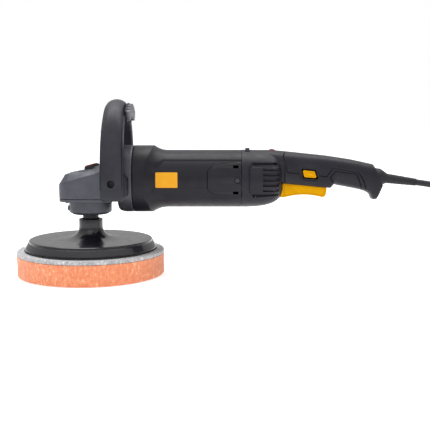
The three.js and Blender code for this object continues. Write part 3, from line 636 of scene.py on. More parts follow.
def foam_disc(low, high, bottom_edge, top_edge, cell, amount, seed):
    """A round foam block: rounded rims, and a side and rims that are broken by open cells."""
    radius, bottom, top = high[0], low[2], high[2]
    fine = radius - 11
    side = rounded([(0, bottom), (fine, bottom), (radius, bottom), (radius, top), (fine, top), (0, top)],
                   [0, 0, bottom_edge, top_edge, 0, 0], 6, is_closed=False)
    profile = []
    for (r0, h0), (r1, h1) in zip(side, side[1:]):
        parts = max(1, int(math.hypot(r1 - r0, h1 - h0) / (0.8 if min(r0, r1) >= fine else 6)))
        profile += [(r0 + (r1 - r0) * k / parts, h0 + (h1 - h0) * k / parts) for k in range(parts)]
    profile.append(side[-1])
    mesh = turned(profile, "Z", segments=620)
    for vertex in mesh.vertices:
        x, y, z = vertex.co / MM
        r = math.hypot(x, y)
        if r < fine + 1:
            continue
        p = Vector((x / cell, y / cell, z / cell + seed))
        lump = noise.noise(p) + 0.6 * noise.noise(p * 2.3)
        out = 0.75 + min(0.1, amount * lump) + 0.3 * noise.noise(p * 0.1)
        vertex.co.xy *= 1 + out / r
        if z > top - 0.5:
            vertex.co.z += min(0.0, amount * lump) * MM
    return mesh


def make_pad():
    pad = show("foam_polishing_pad", foam_disc(FOAM_LOW, FOAM_HIGH, 1.6, 0.5, 1.5, 0.45, 0.0),
               "orange_foam", "spindle_body", "foam_pad", sharp=80)
    layer = show("foam_backing_layer", foam_disc(LAYER_LOW, LAYER_HIGH, 0.4, 0.9, 1.1, 0.35, 31.0),
                 "grey_foam", "spindle_body", "pad_interface_layer", sharp=80)


def make_hook_layer():
    """The hook disc's cut edge is a ragged fringe between the foam and the plate."""
    radius = HOOK_HIGH[0]
    low, high = HOOK_LOW[2], HOOK_HIGH[2]
    profile = [(0, low), (radius - 4, low), (radius - 0.8, low), (radius - 0.1, low + 0.5),
               (radius + 0.2, (low + high) / 2), (radius, high - 0.4), (radius - 1, high), (0, high)]
    mesh = turned(profile, "Z", segments=900)
    for vertex in mesh.vertices:
        r = vertex.co.xy.length
        if r > (radius - 1.2) * MM:
            a = math.atan2(vertex.co.y, vertex.co.x)
            tuft = noise.noise(Vector((a * 120, vertex.co.z / MM * 1.7, 5.0)))
            vertex.co.xy *= 1 + tuft * 2.2 * MM / r
    show("hook_and_loop_fringe", mesh, "hook_layer", "spindle_body", "hook_and_loop_disc", sharp=60)


def plate_profile():
    low, neck_top = PLATE_LOW[2], PLATE_HIGH[2]
    rim, face_r, face_z = PLATE_HIGH[0] - 0.2, 75.4, 43.4
    flare_foot, flare_height = 52.0, 17.0
    outside = rounded([
        (0, low), (rim - 0.9, low), (rim - 0.4, low + 0.8), (rim - 0.6, low + 1.8),
        (face_r + 2.0, face_z - 3.4),
        (face_r + 0.9, face_z - 2.9), (face_r + 0.7, face_z - 0.6), (face_r - 0.3, face_z),
        (flare_foot + 3, face_z),
    ], [0, 0.3, 0.4, 0.6, 0.4, 0.3, 0.3, 0.3, 0], 4, is_closed=False)
    flare = [(NECK_R + (flare_foot - NECK_R) * (1 - math.sin(t)) ** 1.25,
              face_z + flare_height * (1 - math.cos(t)) ** 1.35) for t in np.linspace(0, math.pi / 2, 48)]
    bore, ledge = 7.2, 11.8
    neck = rounded([
        flare[-1], (NECK_R, neck_top), (ledge, neck_top), (ledge, neck_top - 2.2), (bore, neck_top - 2.2),
        (bore, SPINDLE_LOW[2] - 0.3), (0, SPINDLE_LOW[2] - 0.3),
    ], [0, 0.9, 0.5, 0.3, 0.3, 0, 0], 4, is_closed=False)
    return outside + flare + neck[1:]


def make_backing_plate():
    show("backing_plate_moulding", turned(plate_profile(), "Z", segments=224), "plate_plastic",
         "spindle_body", "backing_plate", sharp=45)


def make_spindle():
    bottom, top = SPINDLE_LOW[2], SPINDLE_HIGH[2]
    shoulder = PLATE_HIGH[2] + 0.3
    thread = [(6.9 - 0.45 * (k % 2), bottom + 1.5 + k) for k in range(int(shoulder - bottom - 4))]
    profile = [(0, bottom), (6, bottom)] + thread + [
        (6.5, shoulder), (9.3, shoulder), (9.8, shoulder + 0.5), (9.8, 73.1), (9.3, 73.6), (7.4, 73.6),
        (7.4, 96), (6, 98), (6, 119.4), (5, 119.4), (5, top - 0.5), (4.5, top), (0, top)]
    slot, reach, depth = (-1.9, 1.9), (-7, 7), (top - 3.8, top + 1)  # a cross for the spindle lock's tongue
    slots = [block(slot, reach, depth), block(reach, slot, depth)]
    # The spindle takes the dark blackened-steel finish as painted shade: it stands in the shade between the
    # bearing cap and the plate's neck.
    show("output_spindle", carved(turned(profile, "Z", segments=72), *slots), "black_steel", "spindle_body",
         "spindle", sharp=35)


# ---- gear head

HEAD_NOSE, HEAD_CORNER = 34.5, 14.0
COVER_SCREWS = [(sx * 30 * math.cos(math.radians(30)), sy * 30 * math.sin(math.radians(30)))
                for sx in (-1, 1) for sy in (-1, 1)]
LOCK_X, LOCK_Z, LOCK_TILT = 1.9, 136.1, math.radians(-14.5)


def nose_plan(half, corner, rear):
    """Half of an outline from above, from the nose's middle round its left corner to the rear."""
    centre = half - corner
    front = [(-half, 0.0)] + [(-half, -centre * k / 4) for k in range(1, 4)]
    side = [(x, -half) for x in np.linspace(-centre + 4, rear, 10)]
    return front + arc(-centre, -centre, corner, 180, 270, 14) + side


def mirrored(half):
    """The whole outline from its left half, which starts on the middle line."""
    return half + [(x, -y) for x, y in half[::-1][:-1]]


def head_plan(inset):
    """The head from above: a square nose with rounded corners, and sides that widen to the flange."""
    rear, half = HEAD_HIGH[0], HEAD_NOSE
    outline = nose_plan(half, HEAD_CORNER, 8) + [
        (x, -(half + (x - 8) ** 1.15 * 0.09)) for x in np.linspace(11, rear, 10)]
    moved_in = []
    for i, (x, y) in enumerate(outline):
        before, after = outline[max(i - 1, 0)], outline[min(i + 1, len(outline) - 1)]
        along = np.array(after) - np.array(before)
        along = along / np.linalg.norm(along)
        moved_in.append((min(x - along[1] * inset, rear), min(y + along[0] * inset, 0.0)))
    moved_in[0] = (-half + inset, 0.0)
    return mirrored(moved_in)


def head_top(x):
    return float(np.interp(x, [-40, -27, 12, 19, 30, 37], [123.5, 125, 130, 133.5, 146.5, 150.5]))


def head_shoulder(x):
    """Height at which the side wall breaks into the sloping facet."""
    return float(np.interp(x, [-34.5, -30, 15.8, 30, 37], [112.5, 114.6, 127.6, 143, 147]))


def head_body():
    """The head's block, kept within a round limit that narrows to the flange."""
    rings = []
    outer = head_plan(0)
    for inset, height in ((0.5, lambda x: HEAD_LOW[2]), (0.0, lambda x: HEAD_LOW[2] + 0.5),
                          (0.0, head_shoulder), (7.6, head_top)):
        ring = []
        for (x, y), (ox, _) in zip(head_plan(inset), outer):
            z = height(ox if inset < 5 else x)
            reach = math.hypot(y, z - AXIS_Z)
            limit = 40.3 + max(0.0, 30 - x) * 0.8
            scale = min(1.0, limit / reach)
            ring.append((x, y * scale, AXIS_Z + (z - AXIS_Z) * scale))
        rings.append(ring)
    return loft(rings)


def rod(r, start, end, axis, centre, segments=40):
    return turned([(0, start), (r, start), (r, end), (0, end)], axis, centre, segments)


def make_gear_housing():
    low = HEAD_LOW[2]
    on_top = Matrix.Translation(Vector((LOCK_X, 0, head_top(LOCK_X))) * MM)
    lip = moved(rod(16.5, -6, 1.5, "Z", (0, 0, 0), 64), on_top @ Matrix.Rotation(-0.128, 4, "Y"))
    rib = block((10.8, 16.3), (-(HEAD_NOSE + 0.9), HEAD_NOSE + 0.9), (100.2, 101.1))
    foot = block((3.1, 16.4), (-(HEAD_NOSE + 0.7), HEAD_NOSE + 0.7), (low, 96.5))
    seats = []
    head_end = block((0, HEAD_HIGH[0]), (-50, 50), (90, 150))
    holes = [
        rod(25.4, low - 1, 119.6, "Z", (0, 0, 0), 72), rod(9.6, 0, 38, "X", (0, 0, 106.4)),
        rod(8.9, 110, 125.6, "Z", (0, 0, 0)), rod(4.8, 110, 131, "Z", (0, 0, 0)),
        rod(9.6, 124.5, 160, "Z", (LOCK_X, 0, 0)),
    ]
    for side in (-1, 1):
        seats.append(common(rod(12, *on_side(side, 30, 41.1), "Y", BOLT), head_end))
        holes.append(rod(3.2, *on_side(side, 28, 45), "Y", BOLT))
    holes += [rod(1.9, low - 1, low + 12, "Z", (x, y, 0), 20) for x, y in COVER_SCREWS]
    body = joined(head_body(), lip, foot, rib, *seats)
    show("gear_head_casting", cast(carved(body, *holes), 0.6, 2), "cast_grey", "tool_body", "gear_housing",
         sharp=60)


def make_bearing_cover():
    bottom, flange_top = COVER_LOW[2], COVER_HIGH[2]
    r = 26.3
    flange_z = flange_top - 3.2
    profile = rounded([
        (9.4, bottom + 0.6), (11.5, bottom), (r - 4.5, bottom), (r - 0.6, bottom + 2.2), (r, bottom + 3.4),
        (r, flange_top), (17.8, flange_top), (17.8, 77.5), (9.4, 77.5),
    ], [0.3, 0.4, 0.6, 0.8, 0.8, 0, 0.3, 0.3, 0.3], 3)
    cup = turned(profile, "Z", segments=160, is_ring=True)
    plan = mirrored(nose_plan(HEAD_NOSE - 0.1, HEAD_CORNER, COVER_HIGH[0]))
    flange = carved(softened(prism(plan, flange_z, flange_top, "Z"), 0.35),
                    rod(r - 2, flange_z - 1, flange_top + 1, "Z", (0, 0, 0), 160))
    tab = moved(softened(block((r - 1.5, r + 1.5), (-3.4, 3.4), (bottom + 4.2, bottom + 10.2)), 0.6),
                Matrix.Rotation(math.radians(186), 4, "Z"))
    holes = [rod(2.1, flange_z - 1, flange_top + 1, "Z", (x, y, 0), 20) for x, y in COVER_SCREWS]
    show("spindle_bearing_cap", carved(joined(cup, flange), *holes), "cast_grey", "tool_body",
         "spindle_bearing_cover", sharp=30)
    show("bearing_cap_tab", tab, "black_steel", "tool_body")


def cross_recess(size, depth):
    """A cross-shaped tool for screw recesses, its mouth at the origin and its depth along -Z."""
    arm = size * 0.17
    bars = [block((-size, size), (-arm, arm), (-depth, 1)) for _ in range(2)]
    return joined(bars[0], moved(bars[1], Matrix.Rotation(math.pi / 2, 4, "Z")))


def screw(head_r, head_h, shank_r, long):
    """A pan-head screw along Z, its head's top at the origin and its shank below."""
    profile = rounded([
        (0, 0), (head_r * 0.72, 0), (head_r, -head_h * 0.45), (head_r, -head_h), (shank_r, -head_h),
    ], [0, head_h * 0.6, head_h * 0.3, 0.15, 0], 4, is_closed=False)
    turns = int((long - head_h - 1.2) / 0.6)
    thread = [(shank_r - 0.22 * (k % 2), -head_h - 0.5 - 0.6 * k) for k in range(turns)]
    profile += thread + [(shank_r * 0.4, -long), (0, -long)]
    return carved(turned(profile, "Z", segments=32), cross_recess(head_r * 0.62, head_h * 0.55))


def pose(place, direction):
    """A matrix that stands Z up along direction at place, both in the frame's axes."""
    turn = Vector((0, 0, 1)).rotation_difference(Vector(direction)).to_matrix().to_4x4()
    return Matrix.Translation(Vector(place) * MM) @ turn


def make_cover_screws():
    head_bottom = COVER_HIGH[2] - 6.0
    mesh = screw(3.1, 2.6, 1.6, 15)
    for i, (x, y) in enumerate(COVER_SCREWS):
        node = f"cover_screw_{i + 1}"
        show(f"cover_screw_detail_{i + 1}", moved(mesh.copy(), pose((x, y, head_bottom), (0, 0, -1))),
             "black_steel", "tool_body", node)


def make_spindle_lock():
    """A red cap and its stem, in a slanted rubber collar on top of the head."""
    tilt = Matrix.Translation(Vector((LOCK_X, 0, LOCK_Z)) * MM) @ Matrix.Rotation(LOCK_TILT, 4, "Y")
    cap = turned(rounded([(0, -1.6), (7.3, -1.6), (7.3, -0.2), (6.6, 0), (6.0, -0.25), (0, -0.1)],
                         [0, 0.2, 0.3, 0.3, 0.3, 0], 3, is_closed=False), "Z", segments=64)
    stem = [turned([(0, 130.5), (2.6, 130.5), (2.6, 133.6), (6.9, 133.0), (6.9, 134.0), (0, 134.6)], "Z",
                   (LOCK_X * 0.5, 0, 0), 48), block((-1.5, 1.5), (-4.2, 4.2), (125.95, 130.9))]
    show("spindle_lock_cap", merged(moved(cap, tilt), *stem), "red_plastic", "spindle_lock_body",
         "spindle_lock_button")
    collar = turned(rounded([(8.5, -1.3), (8.9, -1.0), (9.4, -2.2), (11.2, -8.6), (8.5, -8.6)],
                            [0.2, 0.4, 0.6, 0.2, 0.2], 3), "Z", segments=72, is_ring=True)
    show("spindle_lock_collar", moved(collar, tilt), "soft_rubber", "tool_body")


def make_gear_flange():
    """The flange's round-cornered section fills the collar's, and its front edge is bevelled."""
    front, rear = FLANGE_LOW[0], FLANGE_HIGH[0]
    rings = []
    angles = np.linspace(0, 2 * math.pi, 200, endpoint=False)
    for x, inset in ((front, 6.5), (front + 0.4, 3.2), (front + 2.2, 1.6), (front + 7, 0.15), (front + 9, 0),
                     (rear - 0.8, 0), (rear - 0.2, 0.35), (rear, 0.9)):
        r = collar_radius(angles) - inset
        rings.append(np.stack([np.full(200, x), r * np.cos(angles), AXIS_Z + r * np.sin(angles)], 1))
    body = loft(rings)
    tools = [rod(14, 45.4, rear + 1, "X", (0, 0, 110.4)), rod(9.3, front - 1, 46, "X", (0, 0, 106.4))]
    pocket = [(20, 96.6), (46.6, 96.6), (51.4, 102.4), (51.4, 121.2), (46.6, 126.8), (20, 126.8)]
    for side in (-1, 1):  # clearance for the loop's foot
        tools.append(prism(rounded(pocket, 2.5, 4), *on_side(side, 37.6, 50)))
    screws = arc(0, AXIS_Z, 33.5, 45, 315, 3)  # they hold the head to the motor
    tools += [rod(3.9, front - 1, front + 4, "X", (0, y, z), 32) for y, z in screws]
    show("gear_flange_casting", cast(carved(body, *tools), 0.6, 2), "flange_grey", "tool_body", "gear_flange",
         sharp=60)
    heads = [moved(screw(3.2, 2.4, 1.9, 14), pose((front + 3.2, y, z), (-1, 0, 0))) for y, z in screws]
    show("flange_screws", merged(*heads), "black_steel", "tool_body")


# ---- loop handle

LOOP_MID_R, LOOP_TOP_Z, LOOP_FOOT_Y = 54.0, 153.6, 57.0


def loop_path():
    """Stations along the loop from the left foot over the top: (y, z, outward direction in y and z)."""
    foot = LOOP_LOW[2]
    stations = []
    rise = [foot + h for h in (0, 0.6, 1.4, 2.6, 4)]
    for z in rise + list(np.linspace(foot + 6, LOOP_TOP_Z - 1.5, 30)):
        t = max(0.0, (z - 118) / (LOOP_TOP_Z - 118))
        t = t * t * (3 - 2 * t)
        stations.append((-(LOOP_FOOT_Y + (LOOP_MID_R - LOOP_FOOT_Y) * t), z, -1.0, 0.0))
    for a in np.linspace(180, 90, 40):
        c, s = math.cos(math.radians(a)), math.sin(math.radians(a))
        stations.append((LOOP_MID_R * c, LOOP_TOP_Z + LOOP_MID_R * s, c, s))
    return stations + [(-y, z, -ny, nz) for y, z, ny, nz in stations[::-1][1:]]


def loop_section(crown, count=200):
    """Points (across, outward) round the loop's section. The crown rounds its outer face, from 0 to 1."""
    a = np.linspace(0, 2 * math.pi, count, endpoint=False)
    c, s = np.cos(a), np.sin(a)
    is_outer = s > 0
    power = np.where(is_outer, 2 / (5.0 - 2.9 * crown), 2 / 3.2)
    across = 14 * np.sign(c) * np.abs(c) ** power
    widest = -3.0 * crown
    reach = np.where(is_outer, 8 - widest, 8 + widest)
    outward = widest + reach * np.sign(s) * np.abs(s) ** power
    return across, outward - np.where(is_outer, 1.2 * (1 - crown) * (across / 14) ** 2 * np.abs(s), 0)


def make_loop_handle():
    centre_x = (LOOP_LOW[0] + LOOP_HIGH[0]) / 2
    seam_at, seam_width, seam_depth = 12.2, 0.5, 1.3
    rings = []
    for y, z, ny, nz in loop_path():
        rise = min(1.0, max(0.0, (z - 128) / (200 - 128)))
        crown = rise * rise * (3 - 2 * rise)
        across, outward = loop_section(crown)
        is_outer = outward > 2
        foot = z - LOOP_LOW[2]
        shrink = 1 - 0.2 * max(0.0, 1 - foot / 4) ** 1.6
        seam = seam_depth * min(1.0, max(0.0, (z - 108.5) / 1.0))
        at = np.where(across > 0, seam_at, seam_at + 0.6 * (1 - crown))
        groove = seam * np.exp(-((np.abs(across) - at) / seam_width) ** 2) * is_outer
        block_out = 0.45 * min(1.0, max(0.0, (109.3 - z) / 0.8))
        out = (outward - groove + block_out * is_outer) * shrink
        lean = 1.2 * crown
        rings.append(np.stack([centre_x + across * shrink * (1 - 0.04 * crown) + lean * (across < 0) * 0.6,
                               y + ny * out, z + nz * out], 1))
    mesh = loft(rings)
    additions, tools = [], []
    for side in (-1, 1):
        additions.append(rod(11.5, *on_side(side, 41.5, 51), "Y", BOLT, 64))
        tools.append(rod(3.2, *on_side(side, 40, 66), "Y", BOLT))
        tools.append(rod(4.3, *on_side(side, 56, 70), "Y", BOLT))
    show("loop_handle_moulding", carved(joined(mesh, *additions), *tools), "loop_plastic", "d_handle_body",
         "d_handle", sharp=42)


def make_loop_bolts():
    for side, name in ((-1, "left"), (1, "right")):
        profile = rounded([(0, 0), (3.3, 0), (3.9, -0.5), (3.9, -4.6), (2.8, -4.6)], [0, 0.4, 0.3, 0.1, 0], 3,
                          is_closed=False)
        thread = [(2.8 - 0.25 * (k % 2), -8 - 0.8 * k) for k in range(28)]
        bolt = turned(profile + thread + [(0, -31)], "Z", segments=40)
        socket = prism(arc(0, 0, 2.35, 0, 300, 5), -3, 1, "Z")
        place = pose((BOLT_X, side * 61, BOLT_Z), (0, side, 0))
        show(f"loop_bolt_{name}", moved(carved(bolt, socket), place), "black_steel", "d_handle_body",
             f"d_handle_bolt_{name}")


def make_grip_insert():
    """A ribbed band set into the rear of the loop's top, on a rubber backing."""
    front, rear = INSERT_LOW[0], INSERT_HIGH[0]
    band = arc(0, LOOP_TOP_Z, 57.4, 54, 126, 48) + arc(0, LOOP_TOP_Z, 41.5, 126, 54, 48)
    base = softened(prism(rounded(band, 0.01, 1), front - 0.6, front + 0.9, "X"), 0.3)
    show("grip_insert_backing", base, "soft_rubber", "d_handle_body")
    ribs = []
    count = 9
    for i in range(count):
        a = 58 + 64 * i / (count - 1)
        low, high = a - 2.0, a + 2.0
        outline = arc(0, LOOP_TOP_Z, 56.6, low, high, 4) + arc(0, LOOP_TOP_Z, 42.6, high, low, 4)
        ribs.append(softened(prism(outline, front + 0.5, rear, "X"), 0.9, 3))
    show("ribbed_grip_insert", merged(*ribs), "rib_rubber", "d_handle_body", "d_handle_grip_insert", sharp=50)


# ---- motor housing

PANEL_OUTLINE = [(81.5, 108.5), (93.7, 97.2), (200, 97.2), (200, 141.6), (93.7, 141.6), (81.5, 128.4)]
LABEL_OUTLINE = [(78, 109.1), (144.2, 109.1), (144.2, 128.3), (78, 128.3)]
BRUSH_OUTLINE = [(146.4, 108), (153.4, 101.6), (186.6, 98.2), (186.6, 140.4), (153.4, 136.4), (146.4, 129.6)]
BRUSH_SLOTS = [[(176.8, z0), (183.4, z0), (183.4, z1), (176.8, z1)]
               for z0, z1 in ((132.8, 136.3), (101.3, 104.8))]
BADGE_OUTLINE = [(83.7, 109.6), (110.1, 109.6), (110.1, 128.0), (83.7, 128.0)]


def line_distance(x, z, points):
    """Distance from each place (x, z) to a line through the points."""
    x, z = np.broadcast_arrays(x, z)
    nearest = np.full(np.shape(x), 1e9)
    for (x0, z0), (x1, z1) in zip(points, points[1:]):
        dx, dz = x1 - x0, z1 - z0
        t = np.clip(((x - x0) * dx + (z - z0) * dz) / (dx * dx + dz * dz), 0, 1)
        nearest = np.minimum(nearest, np.hypot(x - x0 - t * dx, z - z0 - t * dz))
    return nearest


def outline_distance(x, z, outline):
    """Distance from each place (x, z) to a closed outline, negative inside it."""
    x, z = np.broadcast_arrays(x, z)
    inside = np.zeros(np.shape(x), bool)
    for (x0, z0), (x1, z1) in zip(outline, outline[1:] + outline[:1]):
        inside ^= ((z0 > z) != (z1 > z)) & (x < (x1 - x0) * (z - z0) / ((z1 - z0) or 1e-9) + x0)
    nearest = line_distance(x, z, outline + outline[:1])
    return np.where(inside, -nearest, nearest)


def soft_min(a, b, k):
    h = np.clip(0.5 + 0.5 * (b - a) / k, 0, 1)
    return b + (a - b) * h - k * h * (1 - h)


def soft_max(a, b, k):
    return -soft_min(-a, -b, k)


def collar_radius(angle):
    """The collar's section: a circle drawn slightly towards a square."""
    power = 2.35
    c, s = np.abs(np.cos(angle)), np.abs(np.sin(angle))
    return COLLAR_R / (c ** power + s ** power) ** (1 / power)


def motor_radius(x, angle):
    """The motor housing's outer radius: a collar with a scalloped edge, the barrel, and the side panels."""
    height = np.abs(np.sin(angle))
    edge = 70.6 + np.where(np.sin(angle) > 0, 10.0, 8.4) * height ** 1.9
    end = np.maximum(99.0, edge + 16)
    t = np.clip((x - edge) / (end - edge), 0, 1)
    collar = collar_radius(angle)
    r = collar - (collar - BARREL_R) * (1 - (1 - t) ** 2.4)
    front, rear = MOTOR_LOW[0], MOTOR_HIGH[0]
    r = r - 0.8 * np.clip(1 - (x - front), 0, 1) ** 2 - 0.25 * np.clip(1 - (rear - x) / 0.5, 0, 1) ** 2
    z = AXIS_Z + BARREL_R * np.sin(angle)
    out = np.maximum(outline_distance(x, z, PANEL_OUTLINE), 0)
    r = soft_min(r, PANEL_R + out * 0.62, 0.16)
    label = np.clip(0.5 - outline_distance(x, z, LABEL_OUTLINE) / 0.5, 0, 1)
    cover = np.clip(0.5 - (outline_distance(x, z, BRUSH_OUTLINE) - 0.5) / 0.3, 0, 1)
    slots = [outline_distance(x, z, slot) for slot in BRUSH_SLOTS]
    hollow = np.clip(0.5 - (np.minimum(*slots) - 0.3) / 0.4, 0, 1)
    return r - 0.3 * label - 1.0 * cover * (1 - label) - 1.6 * hollow


def make_motor_housing():
    front, rear = MOTOR_LOW[0], MOTOR_HIGH[0]
    columns = 560
    xs = np.concatenate([[front, front + 0.3, front + 0.6], np.arange(front + 1.2, rear - 1, 0.5),
                         [rear - 0.6, rear - 0.3, rear]])
    angles = np.linspace(0, 2 * math.pi, columns, endpoint=False)
    rows = [(np.full(columns, x), motor_radius(x, angles)) for x in xs]
    inner = BARREL_R - 2.7
    for x, r in ((rear, inner + 1.2), (rear, inner), (130, inner), (69, inner), (69, 6.4), (66.5, 6.4),
                 (66.5, 11.4), (front, 11.4)):
        rows.append((np.full(columns, float(x)), np.full(columns, float(r))))
    rings = [np.stack([x, r * np.cos(angles), AXIS_Z + r * np.sin(angles)], 1) for x, r in rows]
    rings.append(rings[0])
    points = np.array(rings).reshape(-1, 3)
    tools = []
    for side in (-1, 1):  # openings at the brushes, and a well round each cover's screw
        tools += [prism(slot, *on_side(side, 26, 45)) for slot in BRUSH_SLOTS]
        tools.append(rod(4.1, *on_side(side, PANEL_R - 1.4, 45), "Y", BRUSH_SCREW, 48))
    barrel = carved(mesh_of(points, grid_faces(len(rings), columns, wraps=True)), *tools)
    show("motor_barrel", barrel, "motor_plastic", "tool_body", "motor_housing", sharp=40)


def curved_plate(outline, side, inner, outer, corner, edge):
    """A plate that follows the barrel's curve, from its outline seen from the side."""
    section = [(inner, 60), (outer, 60), (outer, 200), (inner, 200)]
    ring = turned(section, "X", (0, 0, AXIS_Z), 320, is_ring=True)
    return softened(common(prism(rounded(outline, corner, 4), *on_side(side, 6, 60)), ring), edge, 2)


def make_side_plates():
    badge = curved_plate(BADGE_OUTLINE, -1, PANEL_R - 0.25, PANEL_R + 0.5, 1.0, 0.15)
    show("blank_badge", badge, "amber_label", "tool_body", "name_badge")
    for side, name in ((-1, "left"), (1, "right")):
        plate = curved_plate(BRUSH_OUTLINE, side, PANEL_R - 0.6, PANEL_R + 0.3, 1.6, 0.18)
        tools = [prism(slot, *on_side(side, 20, 60)) for slot in BRUSH_SLOTS]
        tools.append(rod(4.1, *on_side(side, 20, 60), "Y", BRUSH_SCREW, 48))
        show(f"brush_cover_plate_{name}", carved(plate, *tools), "motor_plastic", "tool_body",
             f"brush_cover_{name}")
        place = pose((BRUSH_SCREW[0], side * (PANEL_R + 0.1), AXIS_Z), (0, side, 0))
        show(f"brush_cover_fastener_{name}", moved(screw(2.9, 1.8, 1.25, 8), place), "dark_screw",
             "tool_body", f"brush_cover_screw_{name}")


# ---- rear housing and handle

TOP_LINE = [(187.5, 153.7), (219, 153.6), (226, 153.4), (233.6, 152.8), (248, 151.4), (292, 146.8),
            (322, 142.2), (351, 136.0)]
BOTTOM_LINE = [(187.5, 114), (240.3, 112.4), (294.7, 107.0), (297.2, 107.2), (301.2, 111.3), (308, 109.9),
               (323, 107.1), (334, 104.8), (340, 102.7), (344.8, 99.4), (346.8, 96.2), (348.4, 93.6),
               (350.4, 92.5), (355.4, 92.1)]
HALF_WIDTHS = [(187.5, 19), (225, 20.5), (240, 21), (250, 19.6), (270, 19), (297, 18), (323, 17), (345, 17),
               (363, 16)]
TAIL_FROM, TAIL_TOP, TAIL_POINT, TAIL_LOW = 338.0, (351.0, 136.0), (363.0, 110.9), (355.4, 92.1)

GRIP_SEAMS = [
    [(240.5, 151.5), (237.9, 146.7), (240.0, 139.7), (243.5, 127.2), (256.5, 125.9)],
    [(283.4, 122.9), (291.2, 121.9), (298.4, 132.7), (329.3, 126.9), (331.5, 125.4), (336.6, 116.6),
     (340.5, 106)],
    [(301.4, 111.5), (296.0, 119.8), (296.0, 121.3), (301.7, 128.8), (326.3, 125.2), (328.6, 123.4),
     (335.2, 107)],
]
LOCK_BEZEL = [(255.6, 131.8), (259.2, 136.2), (277.8, 134.3), (281.0, 129.4), (282.4, 123.1), (277.8, 116.2),
              (261.8, 118.1), (258.6, 121.8)]
LOCK_OUTLINE = [(261.6, 129.9), (263.9, 121.3), (278.9, 120.2), (276.1, 128.2)]
VENT_POCKET = [(195.4, 104.6), (199.4, 99.2), (240, 99.6), (240, 139.0), (199.4, 138.4), (195.4, 132.6)]
VENT_PLATE = [(198.6, 105.0), (200.4, 102.6), (211.3, 102.8), (211.3, 134.2), (200.4, 134.4), (198.6, 132.4)]
VENT_SLOTS = [
    [(199.6, 137.4), (201.4, 139.9), (232.9, 138.6), (232.9, 136.8), (201.6, 136.0)],
    [(199.4, 99.6), (201.4, 97.2), (232.0, 99.7), (232.0, 101.2), (201.6, 101.2)],
]
LOUVRE_HEIGHTS = [131.7, 125.4, 119.0, 112.7, 106.4]
LOCK_HOLE = [(259.6, 131.8), (262.5, 119.6), (281.0, 118.3), (277.8, 130.1)]


def on_line(x, line):
    table = np.array(line)
    return np.interp(x, table[:, 0], table[:, 1])


def bell_radius(x, angle):
    """The rounded end of the motor bulge: long and round above and below, square-shouldered at its sides."""
    side = np.abs(np.cos(angle)) ** 1.6
    length = 56.0 - 5.6 * side
    power = 2.6 + 8.5 * side
    t = np.clip((x - SHELL_LOW[0]) / length, 0, 1)
    return BARREL_R * np.sqrt(1 - t ** power)


def grip_radius(top, bottom, half_width, belly, angle):
    """Distance from the motor's axis to the grip's rounded-square section, at each angle."""
    middle, half_height = (top + bottom) / 2 - AXIS_Z, (top - bottom) / 2
    c, s = np.cos(angle), np.sin(angle)
    low, high = np.zeros_like(angle), np.full_like(angle, 60.0)
    for _ in range(26):
        r = (low + high) / 2
        h = (r * s - middle) / half_height
        power = np.where(h > 0, 2.7, belly)
        inside = np.abs(r * c / half_width) ** power + np.abs(h) ** power < 1
        low, high = np.where(inside, r, low), np.where(inside, high, r)
    return (low + high) / 2


def tail_end(z):
    """Where the handle ends at each height: two slanted faces that meet at its rearmost edge."""
    (xt, zt), (xp, zp), (xl, zl) = TAIL_TOP, TAIL_POINT, TAIL_LOW
    return np.where(z > zp, xp - (z - zp) * (xp - xt) / (zt - zp), xp - (zp - z) * (xp - xl) / (zp - zl))


def groove(distance, depth, width):
    return depth * np.exp(-(distance / width) ** 2)


def ramp(distance, blur):
    """One inside an outline and zero outside it, across an edge blur millimetres wide."""
    t = np.clip(0.5 - distance / blur, 0, 1)
    return t * t * (3 - 2 * t)


def shell_relief(x, z, is_left):
    """How far the surface is sunk at each point, seen from the side."""
    bezel = outline_distance(x, z, LOCK_BEZEL)
    outside_bezel = bezel > 0.5 if is_left else np.ones(np.shape(bezel), bool)
    sunk = np.zeros(np.shape(bezel))
    for seam in GRIP_SEAMS:
        sunk = np.maximum(sunk, groove(line_distance(x, z, seam), 1.15, 0.5) * outside_bezel)
    pocket = outline_distance(x, z, VENT_POCKET)
    sunk = np.maximum(sunk, 1.3 * ramp(pocket, 2.2))
    sunk = sunk + groove(pocket + 1.2, 0.45, 0.3) * (x < 203)
    sunk = sunk - 0.35 * ramp(outline_distance(x, z, VENT_PLATE), 0.6)
    if is_left:
        sunk = sunk + groove(bezel, 0.7, 0.4) + 0.7 * ramp(bezel + 0.6, 0.8)
    return sunk


def shell_ring(station, side, inset, angles):
    """One ring of a half shell. Stations past the tail's start lean with its slanted end."""
    share = max(0.0, (station - TAIL_FROM) / (TAIL_POINT[0] - TAIL_FROM))
    top_x = TAIL_FROM + share * (TAIL_TOP[0] - TAIL_FROM) if share else station
    low_x = TAIL_FROM + share * (TAIL_LOW[0] - TAIL_FROM) if share else station
    top, bottom = on_line(top_x, TOP_LINE), on_line(low_x, BOTTOM_LINE)
    belly = float(np.interp(station, [225, 236, 296, 304], [2.7, 5.5, 5.5, 2.8]))
    grip = grip_radius(top, bottom, on_line(station, HALF_WIDTHS), belly, angles)
    r = soft_max(grip, bell_radius(station, angles), 1.0)
    z = AXIS_Z + r * np.sin(angles)
    x = np.full_like(angles, station)
    if share:
        x = TAIL_FROM + share * (tail_end(z) - TAIL_FROM)
    if inset:
        r = r - inset
    else:
        r = r - shell_relief(x, z, side < 0) * np.clip(np.abs(np.cos(angles)) * 3, 0, 1)
    y = side * np.maximum(r * np.cos(angles), 0.15)
    return np.stack([x, y, AXIS_Z + r * np.sin(angles)], 1)


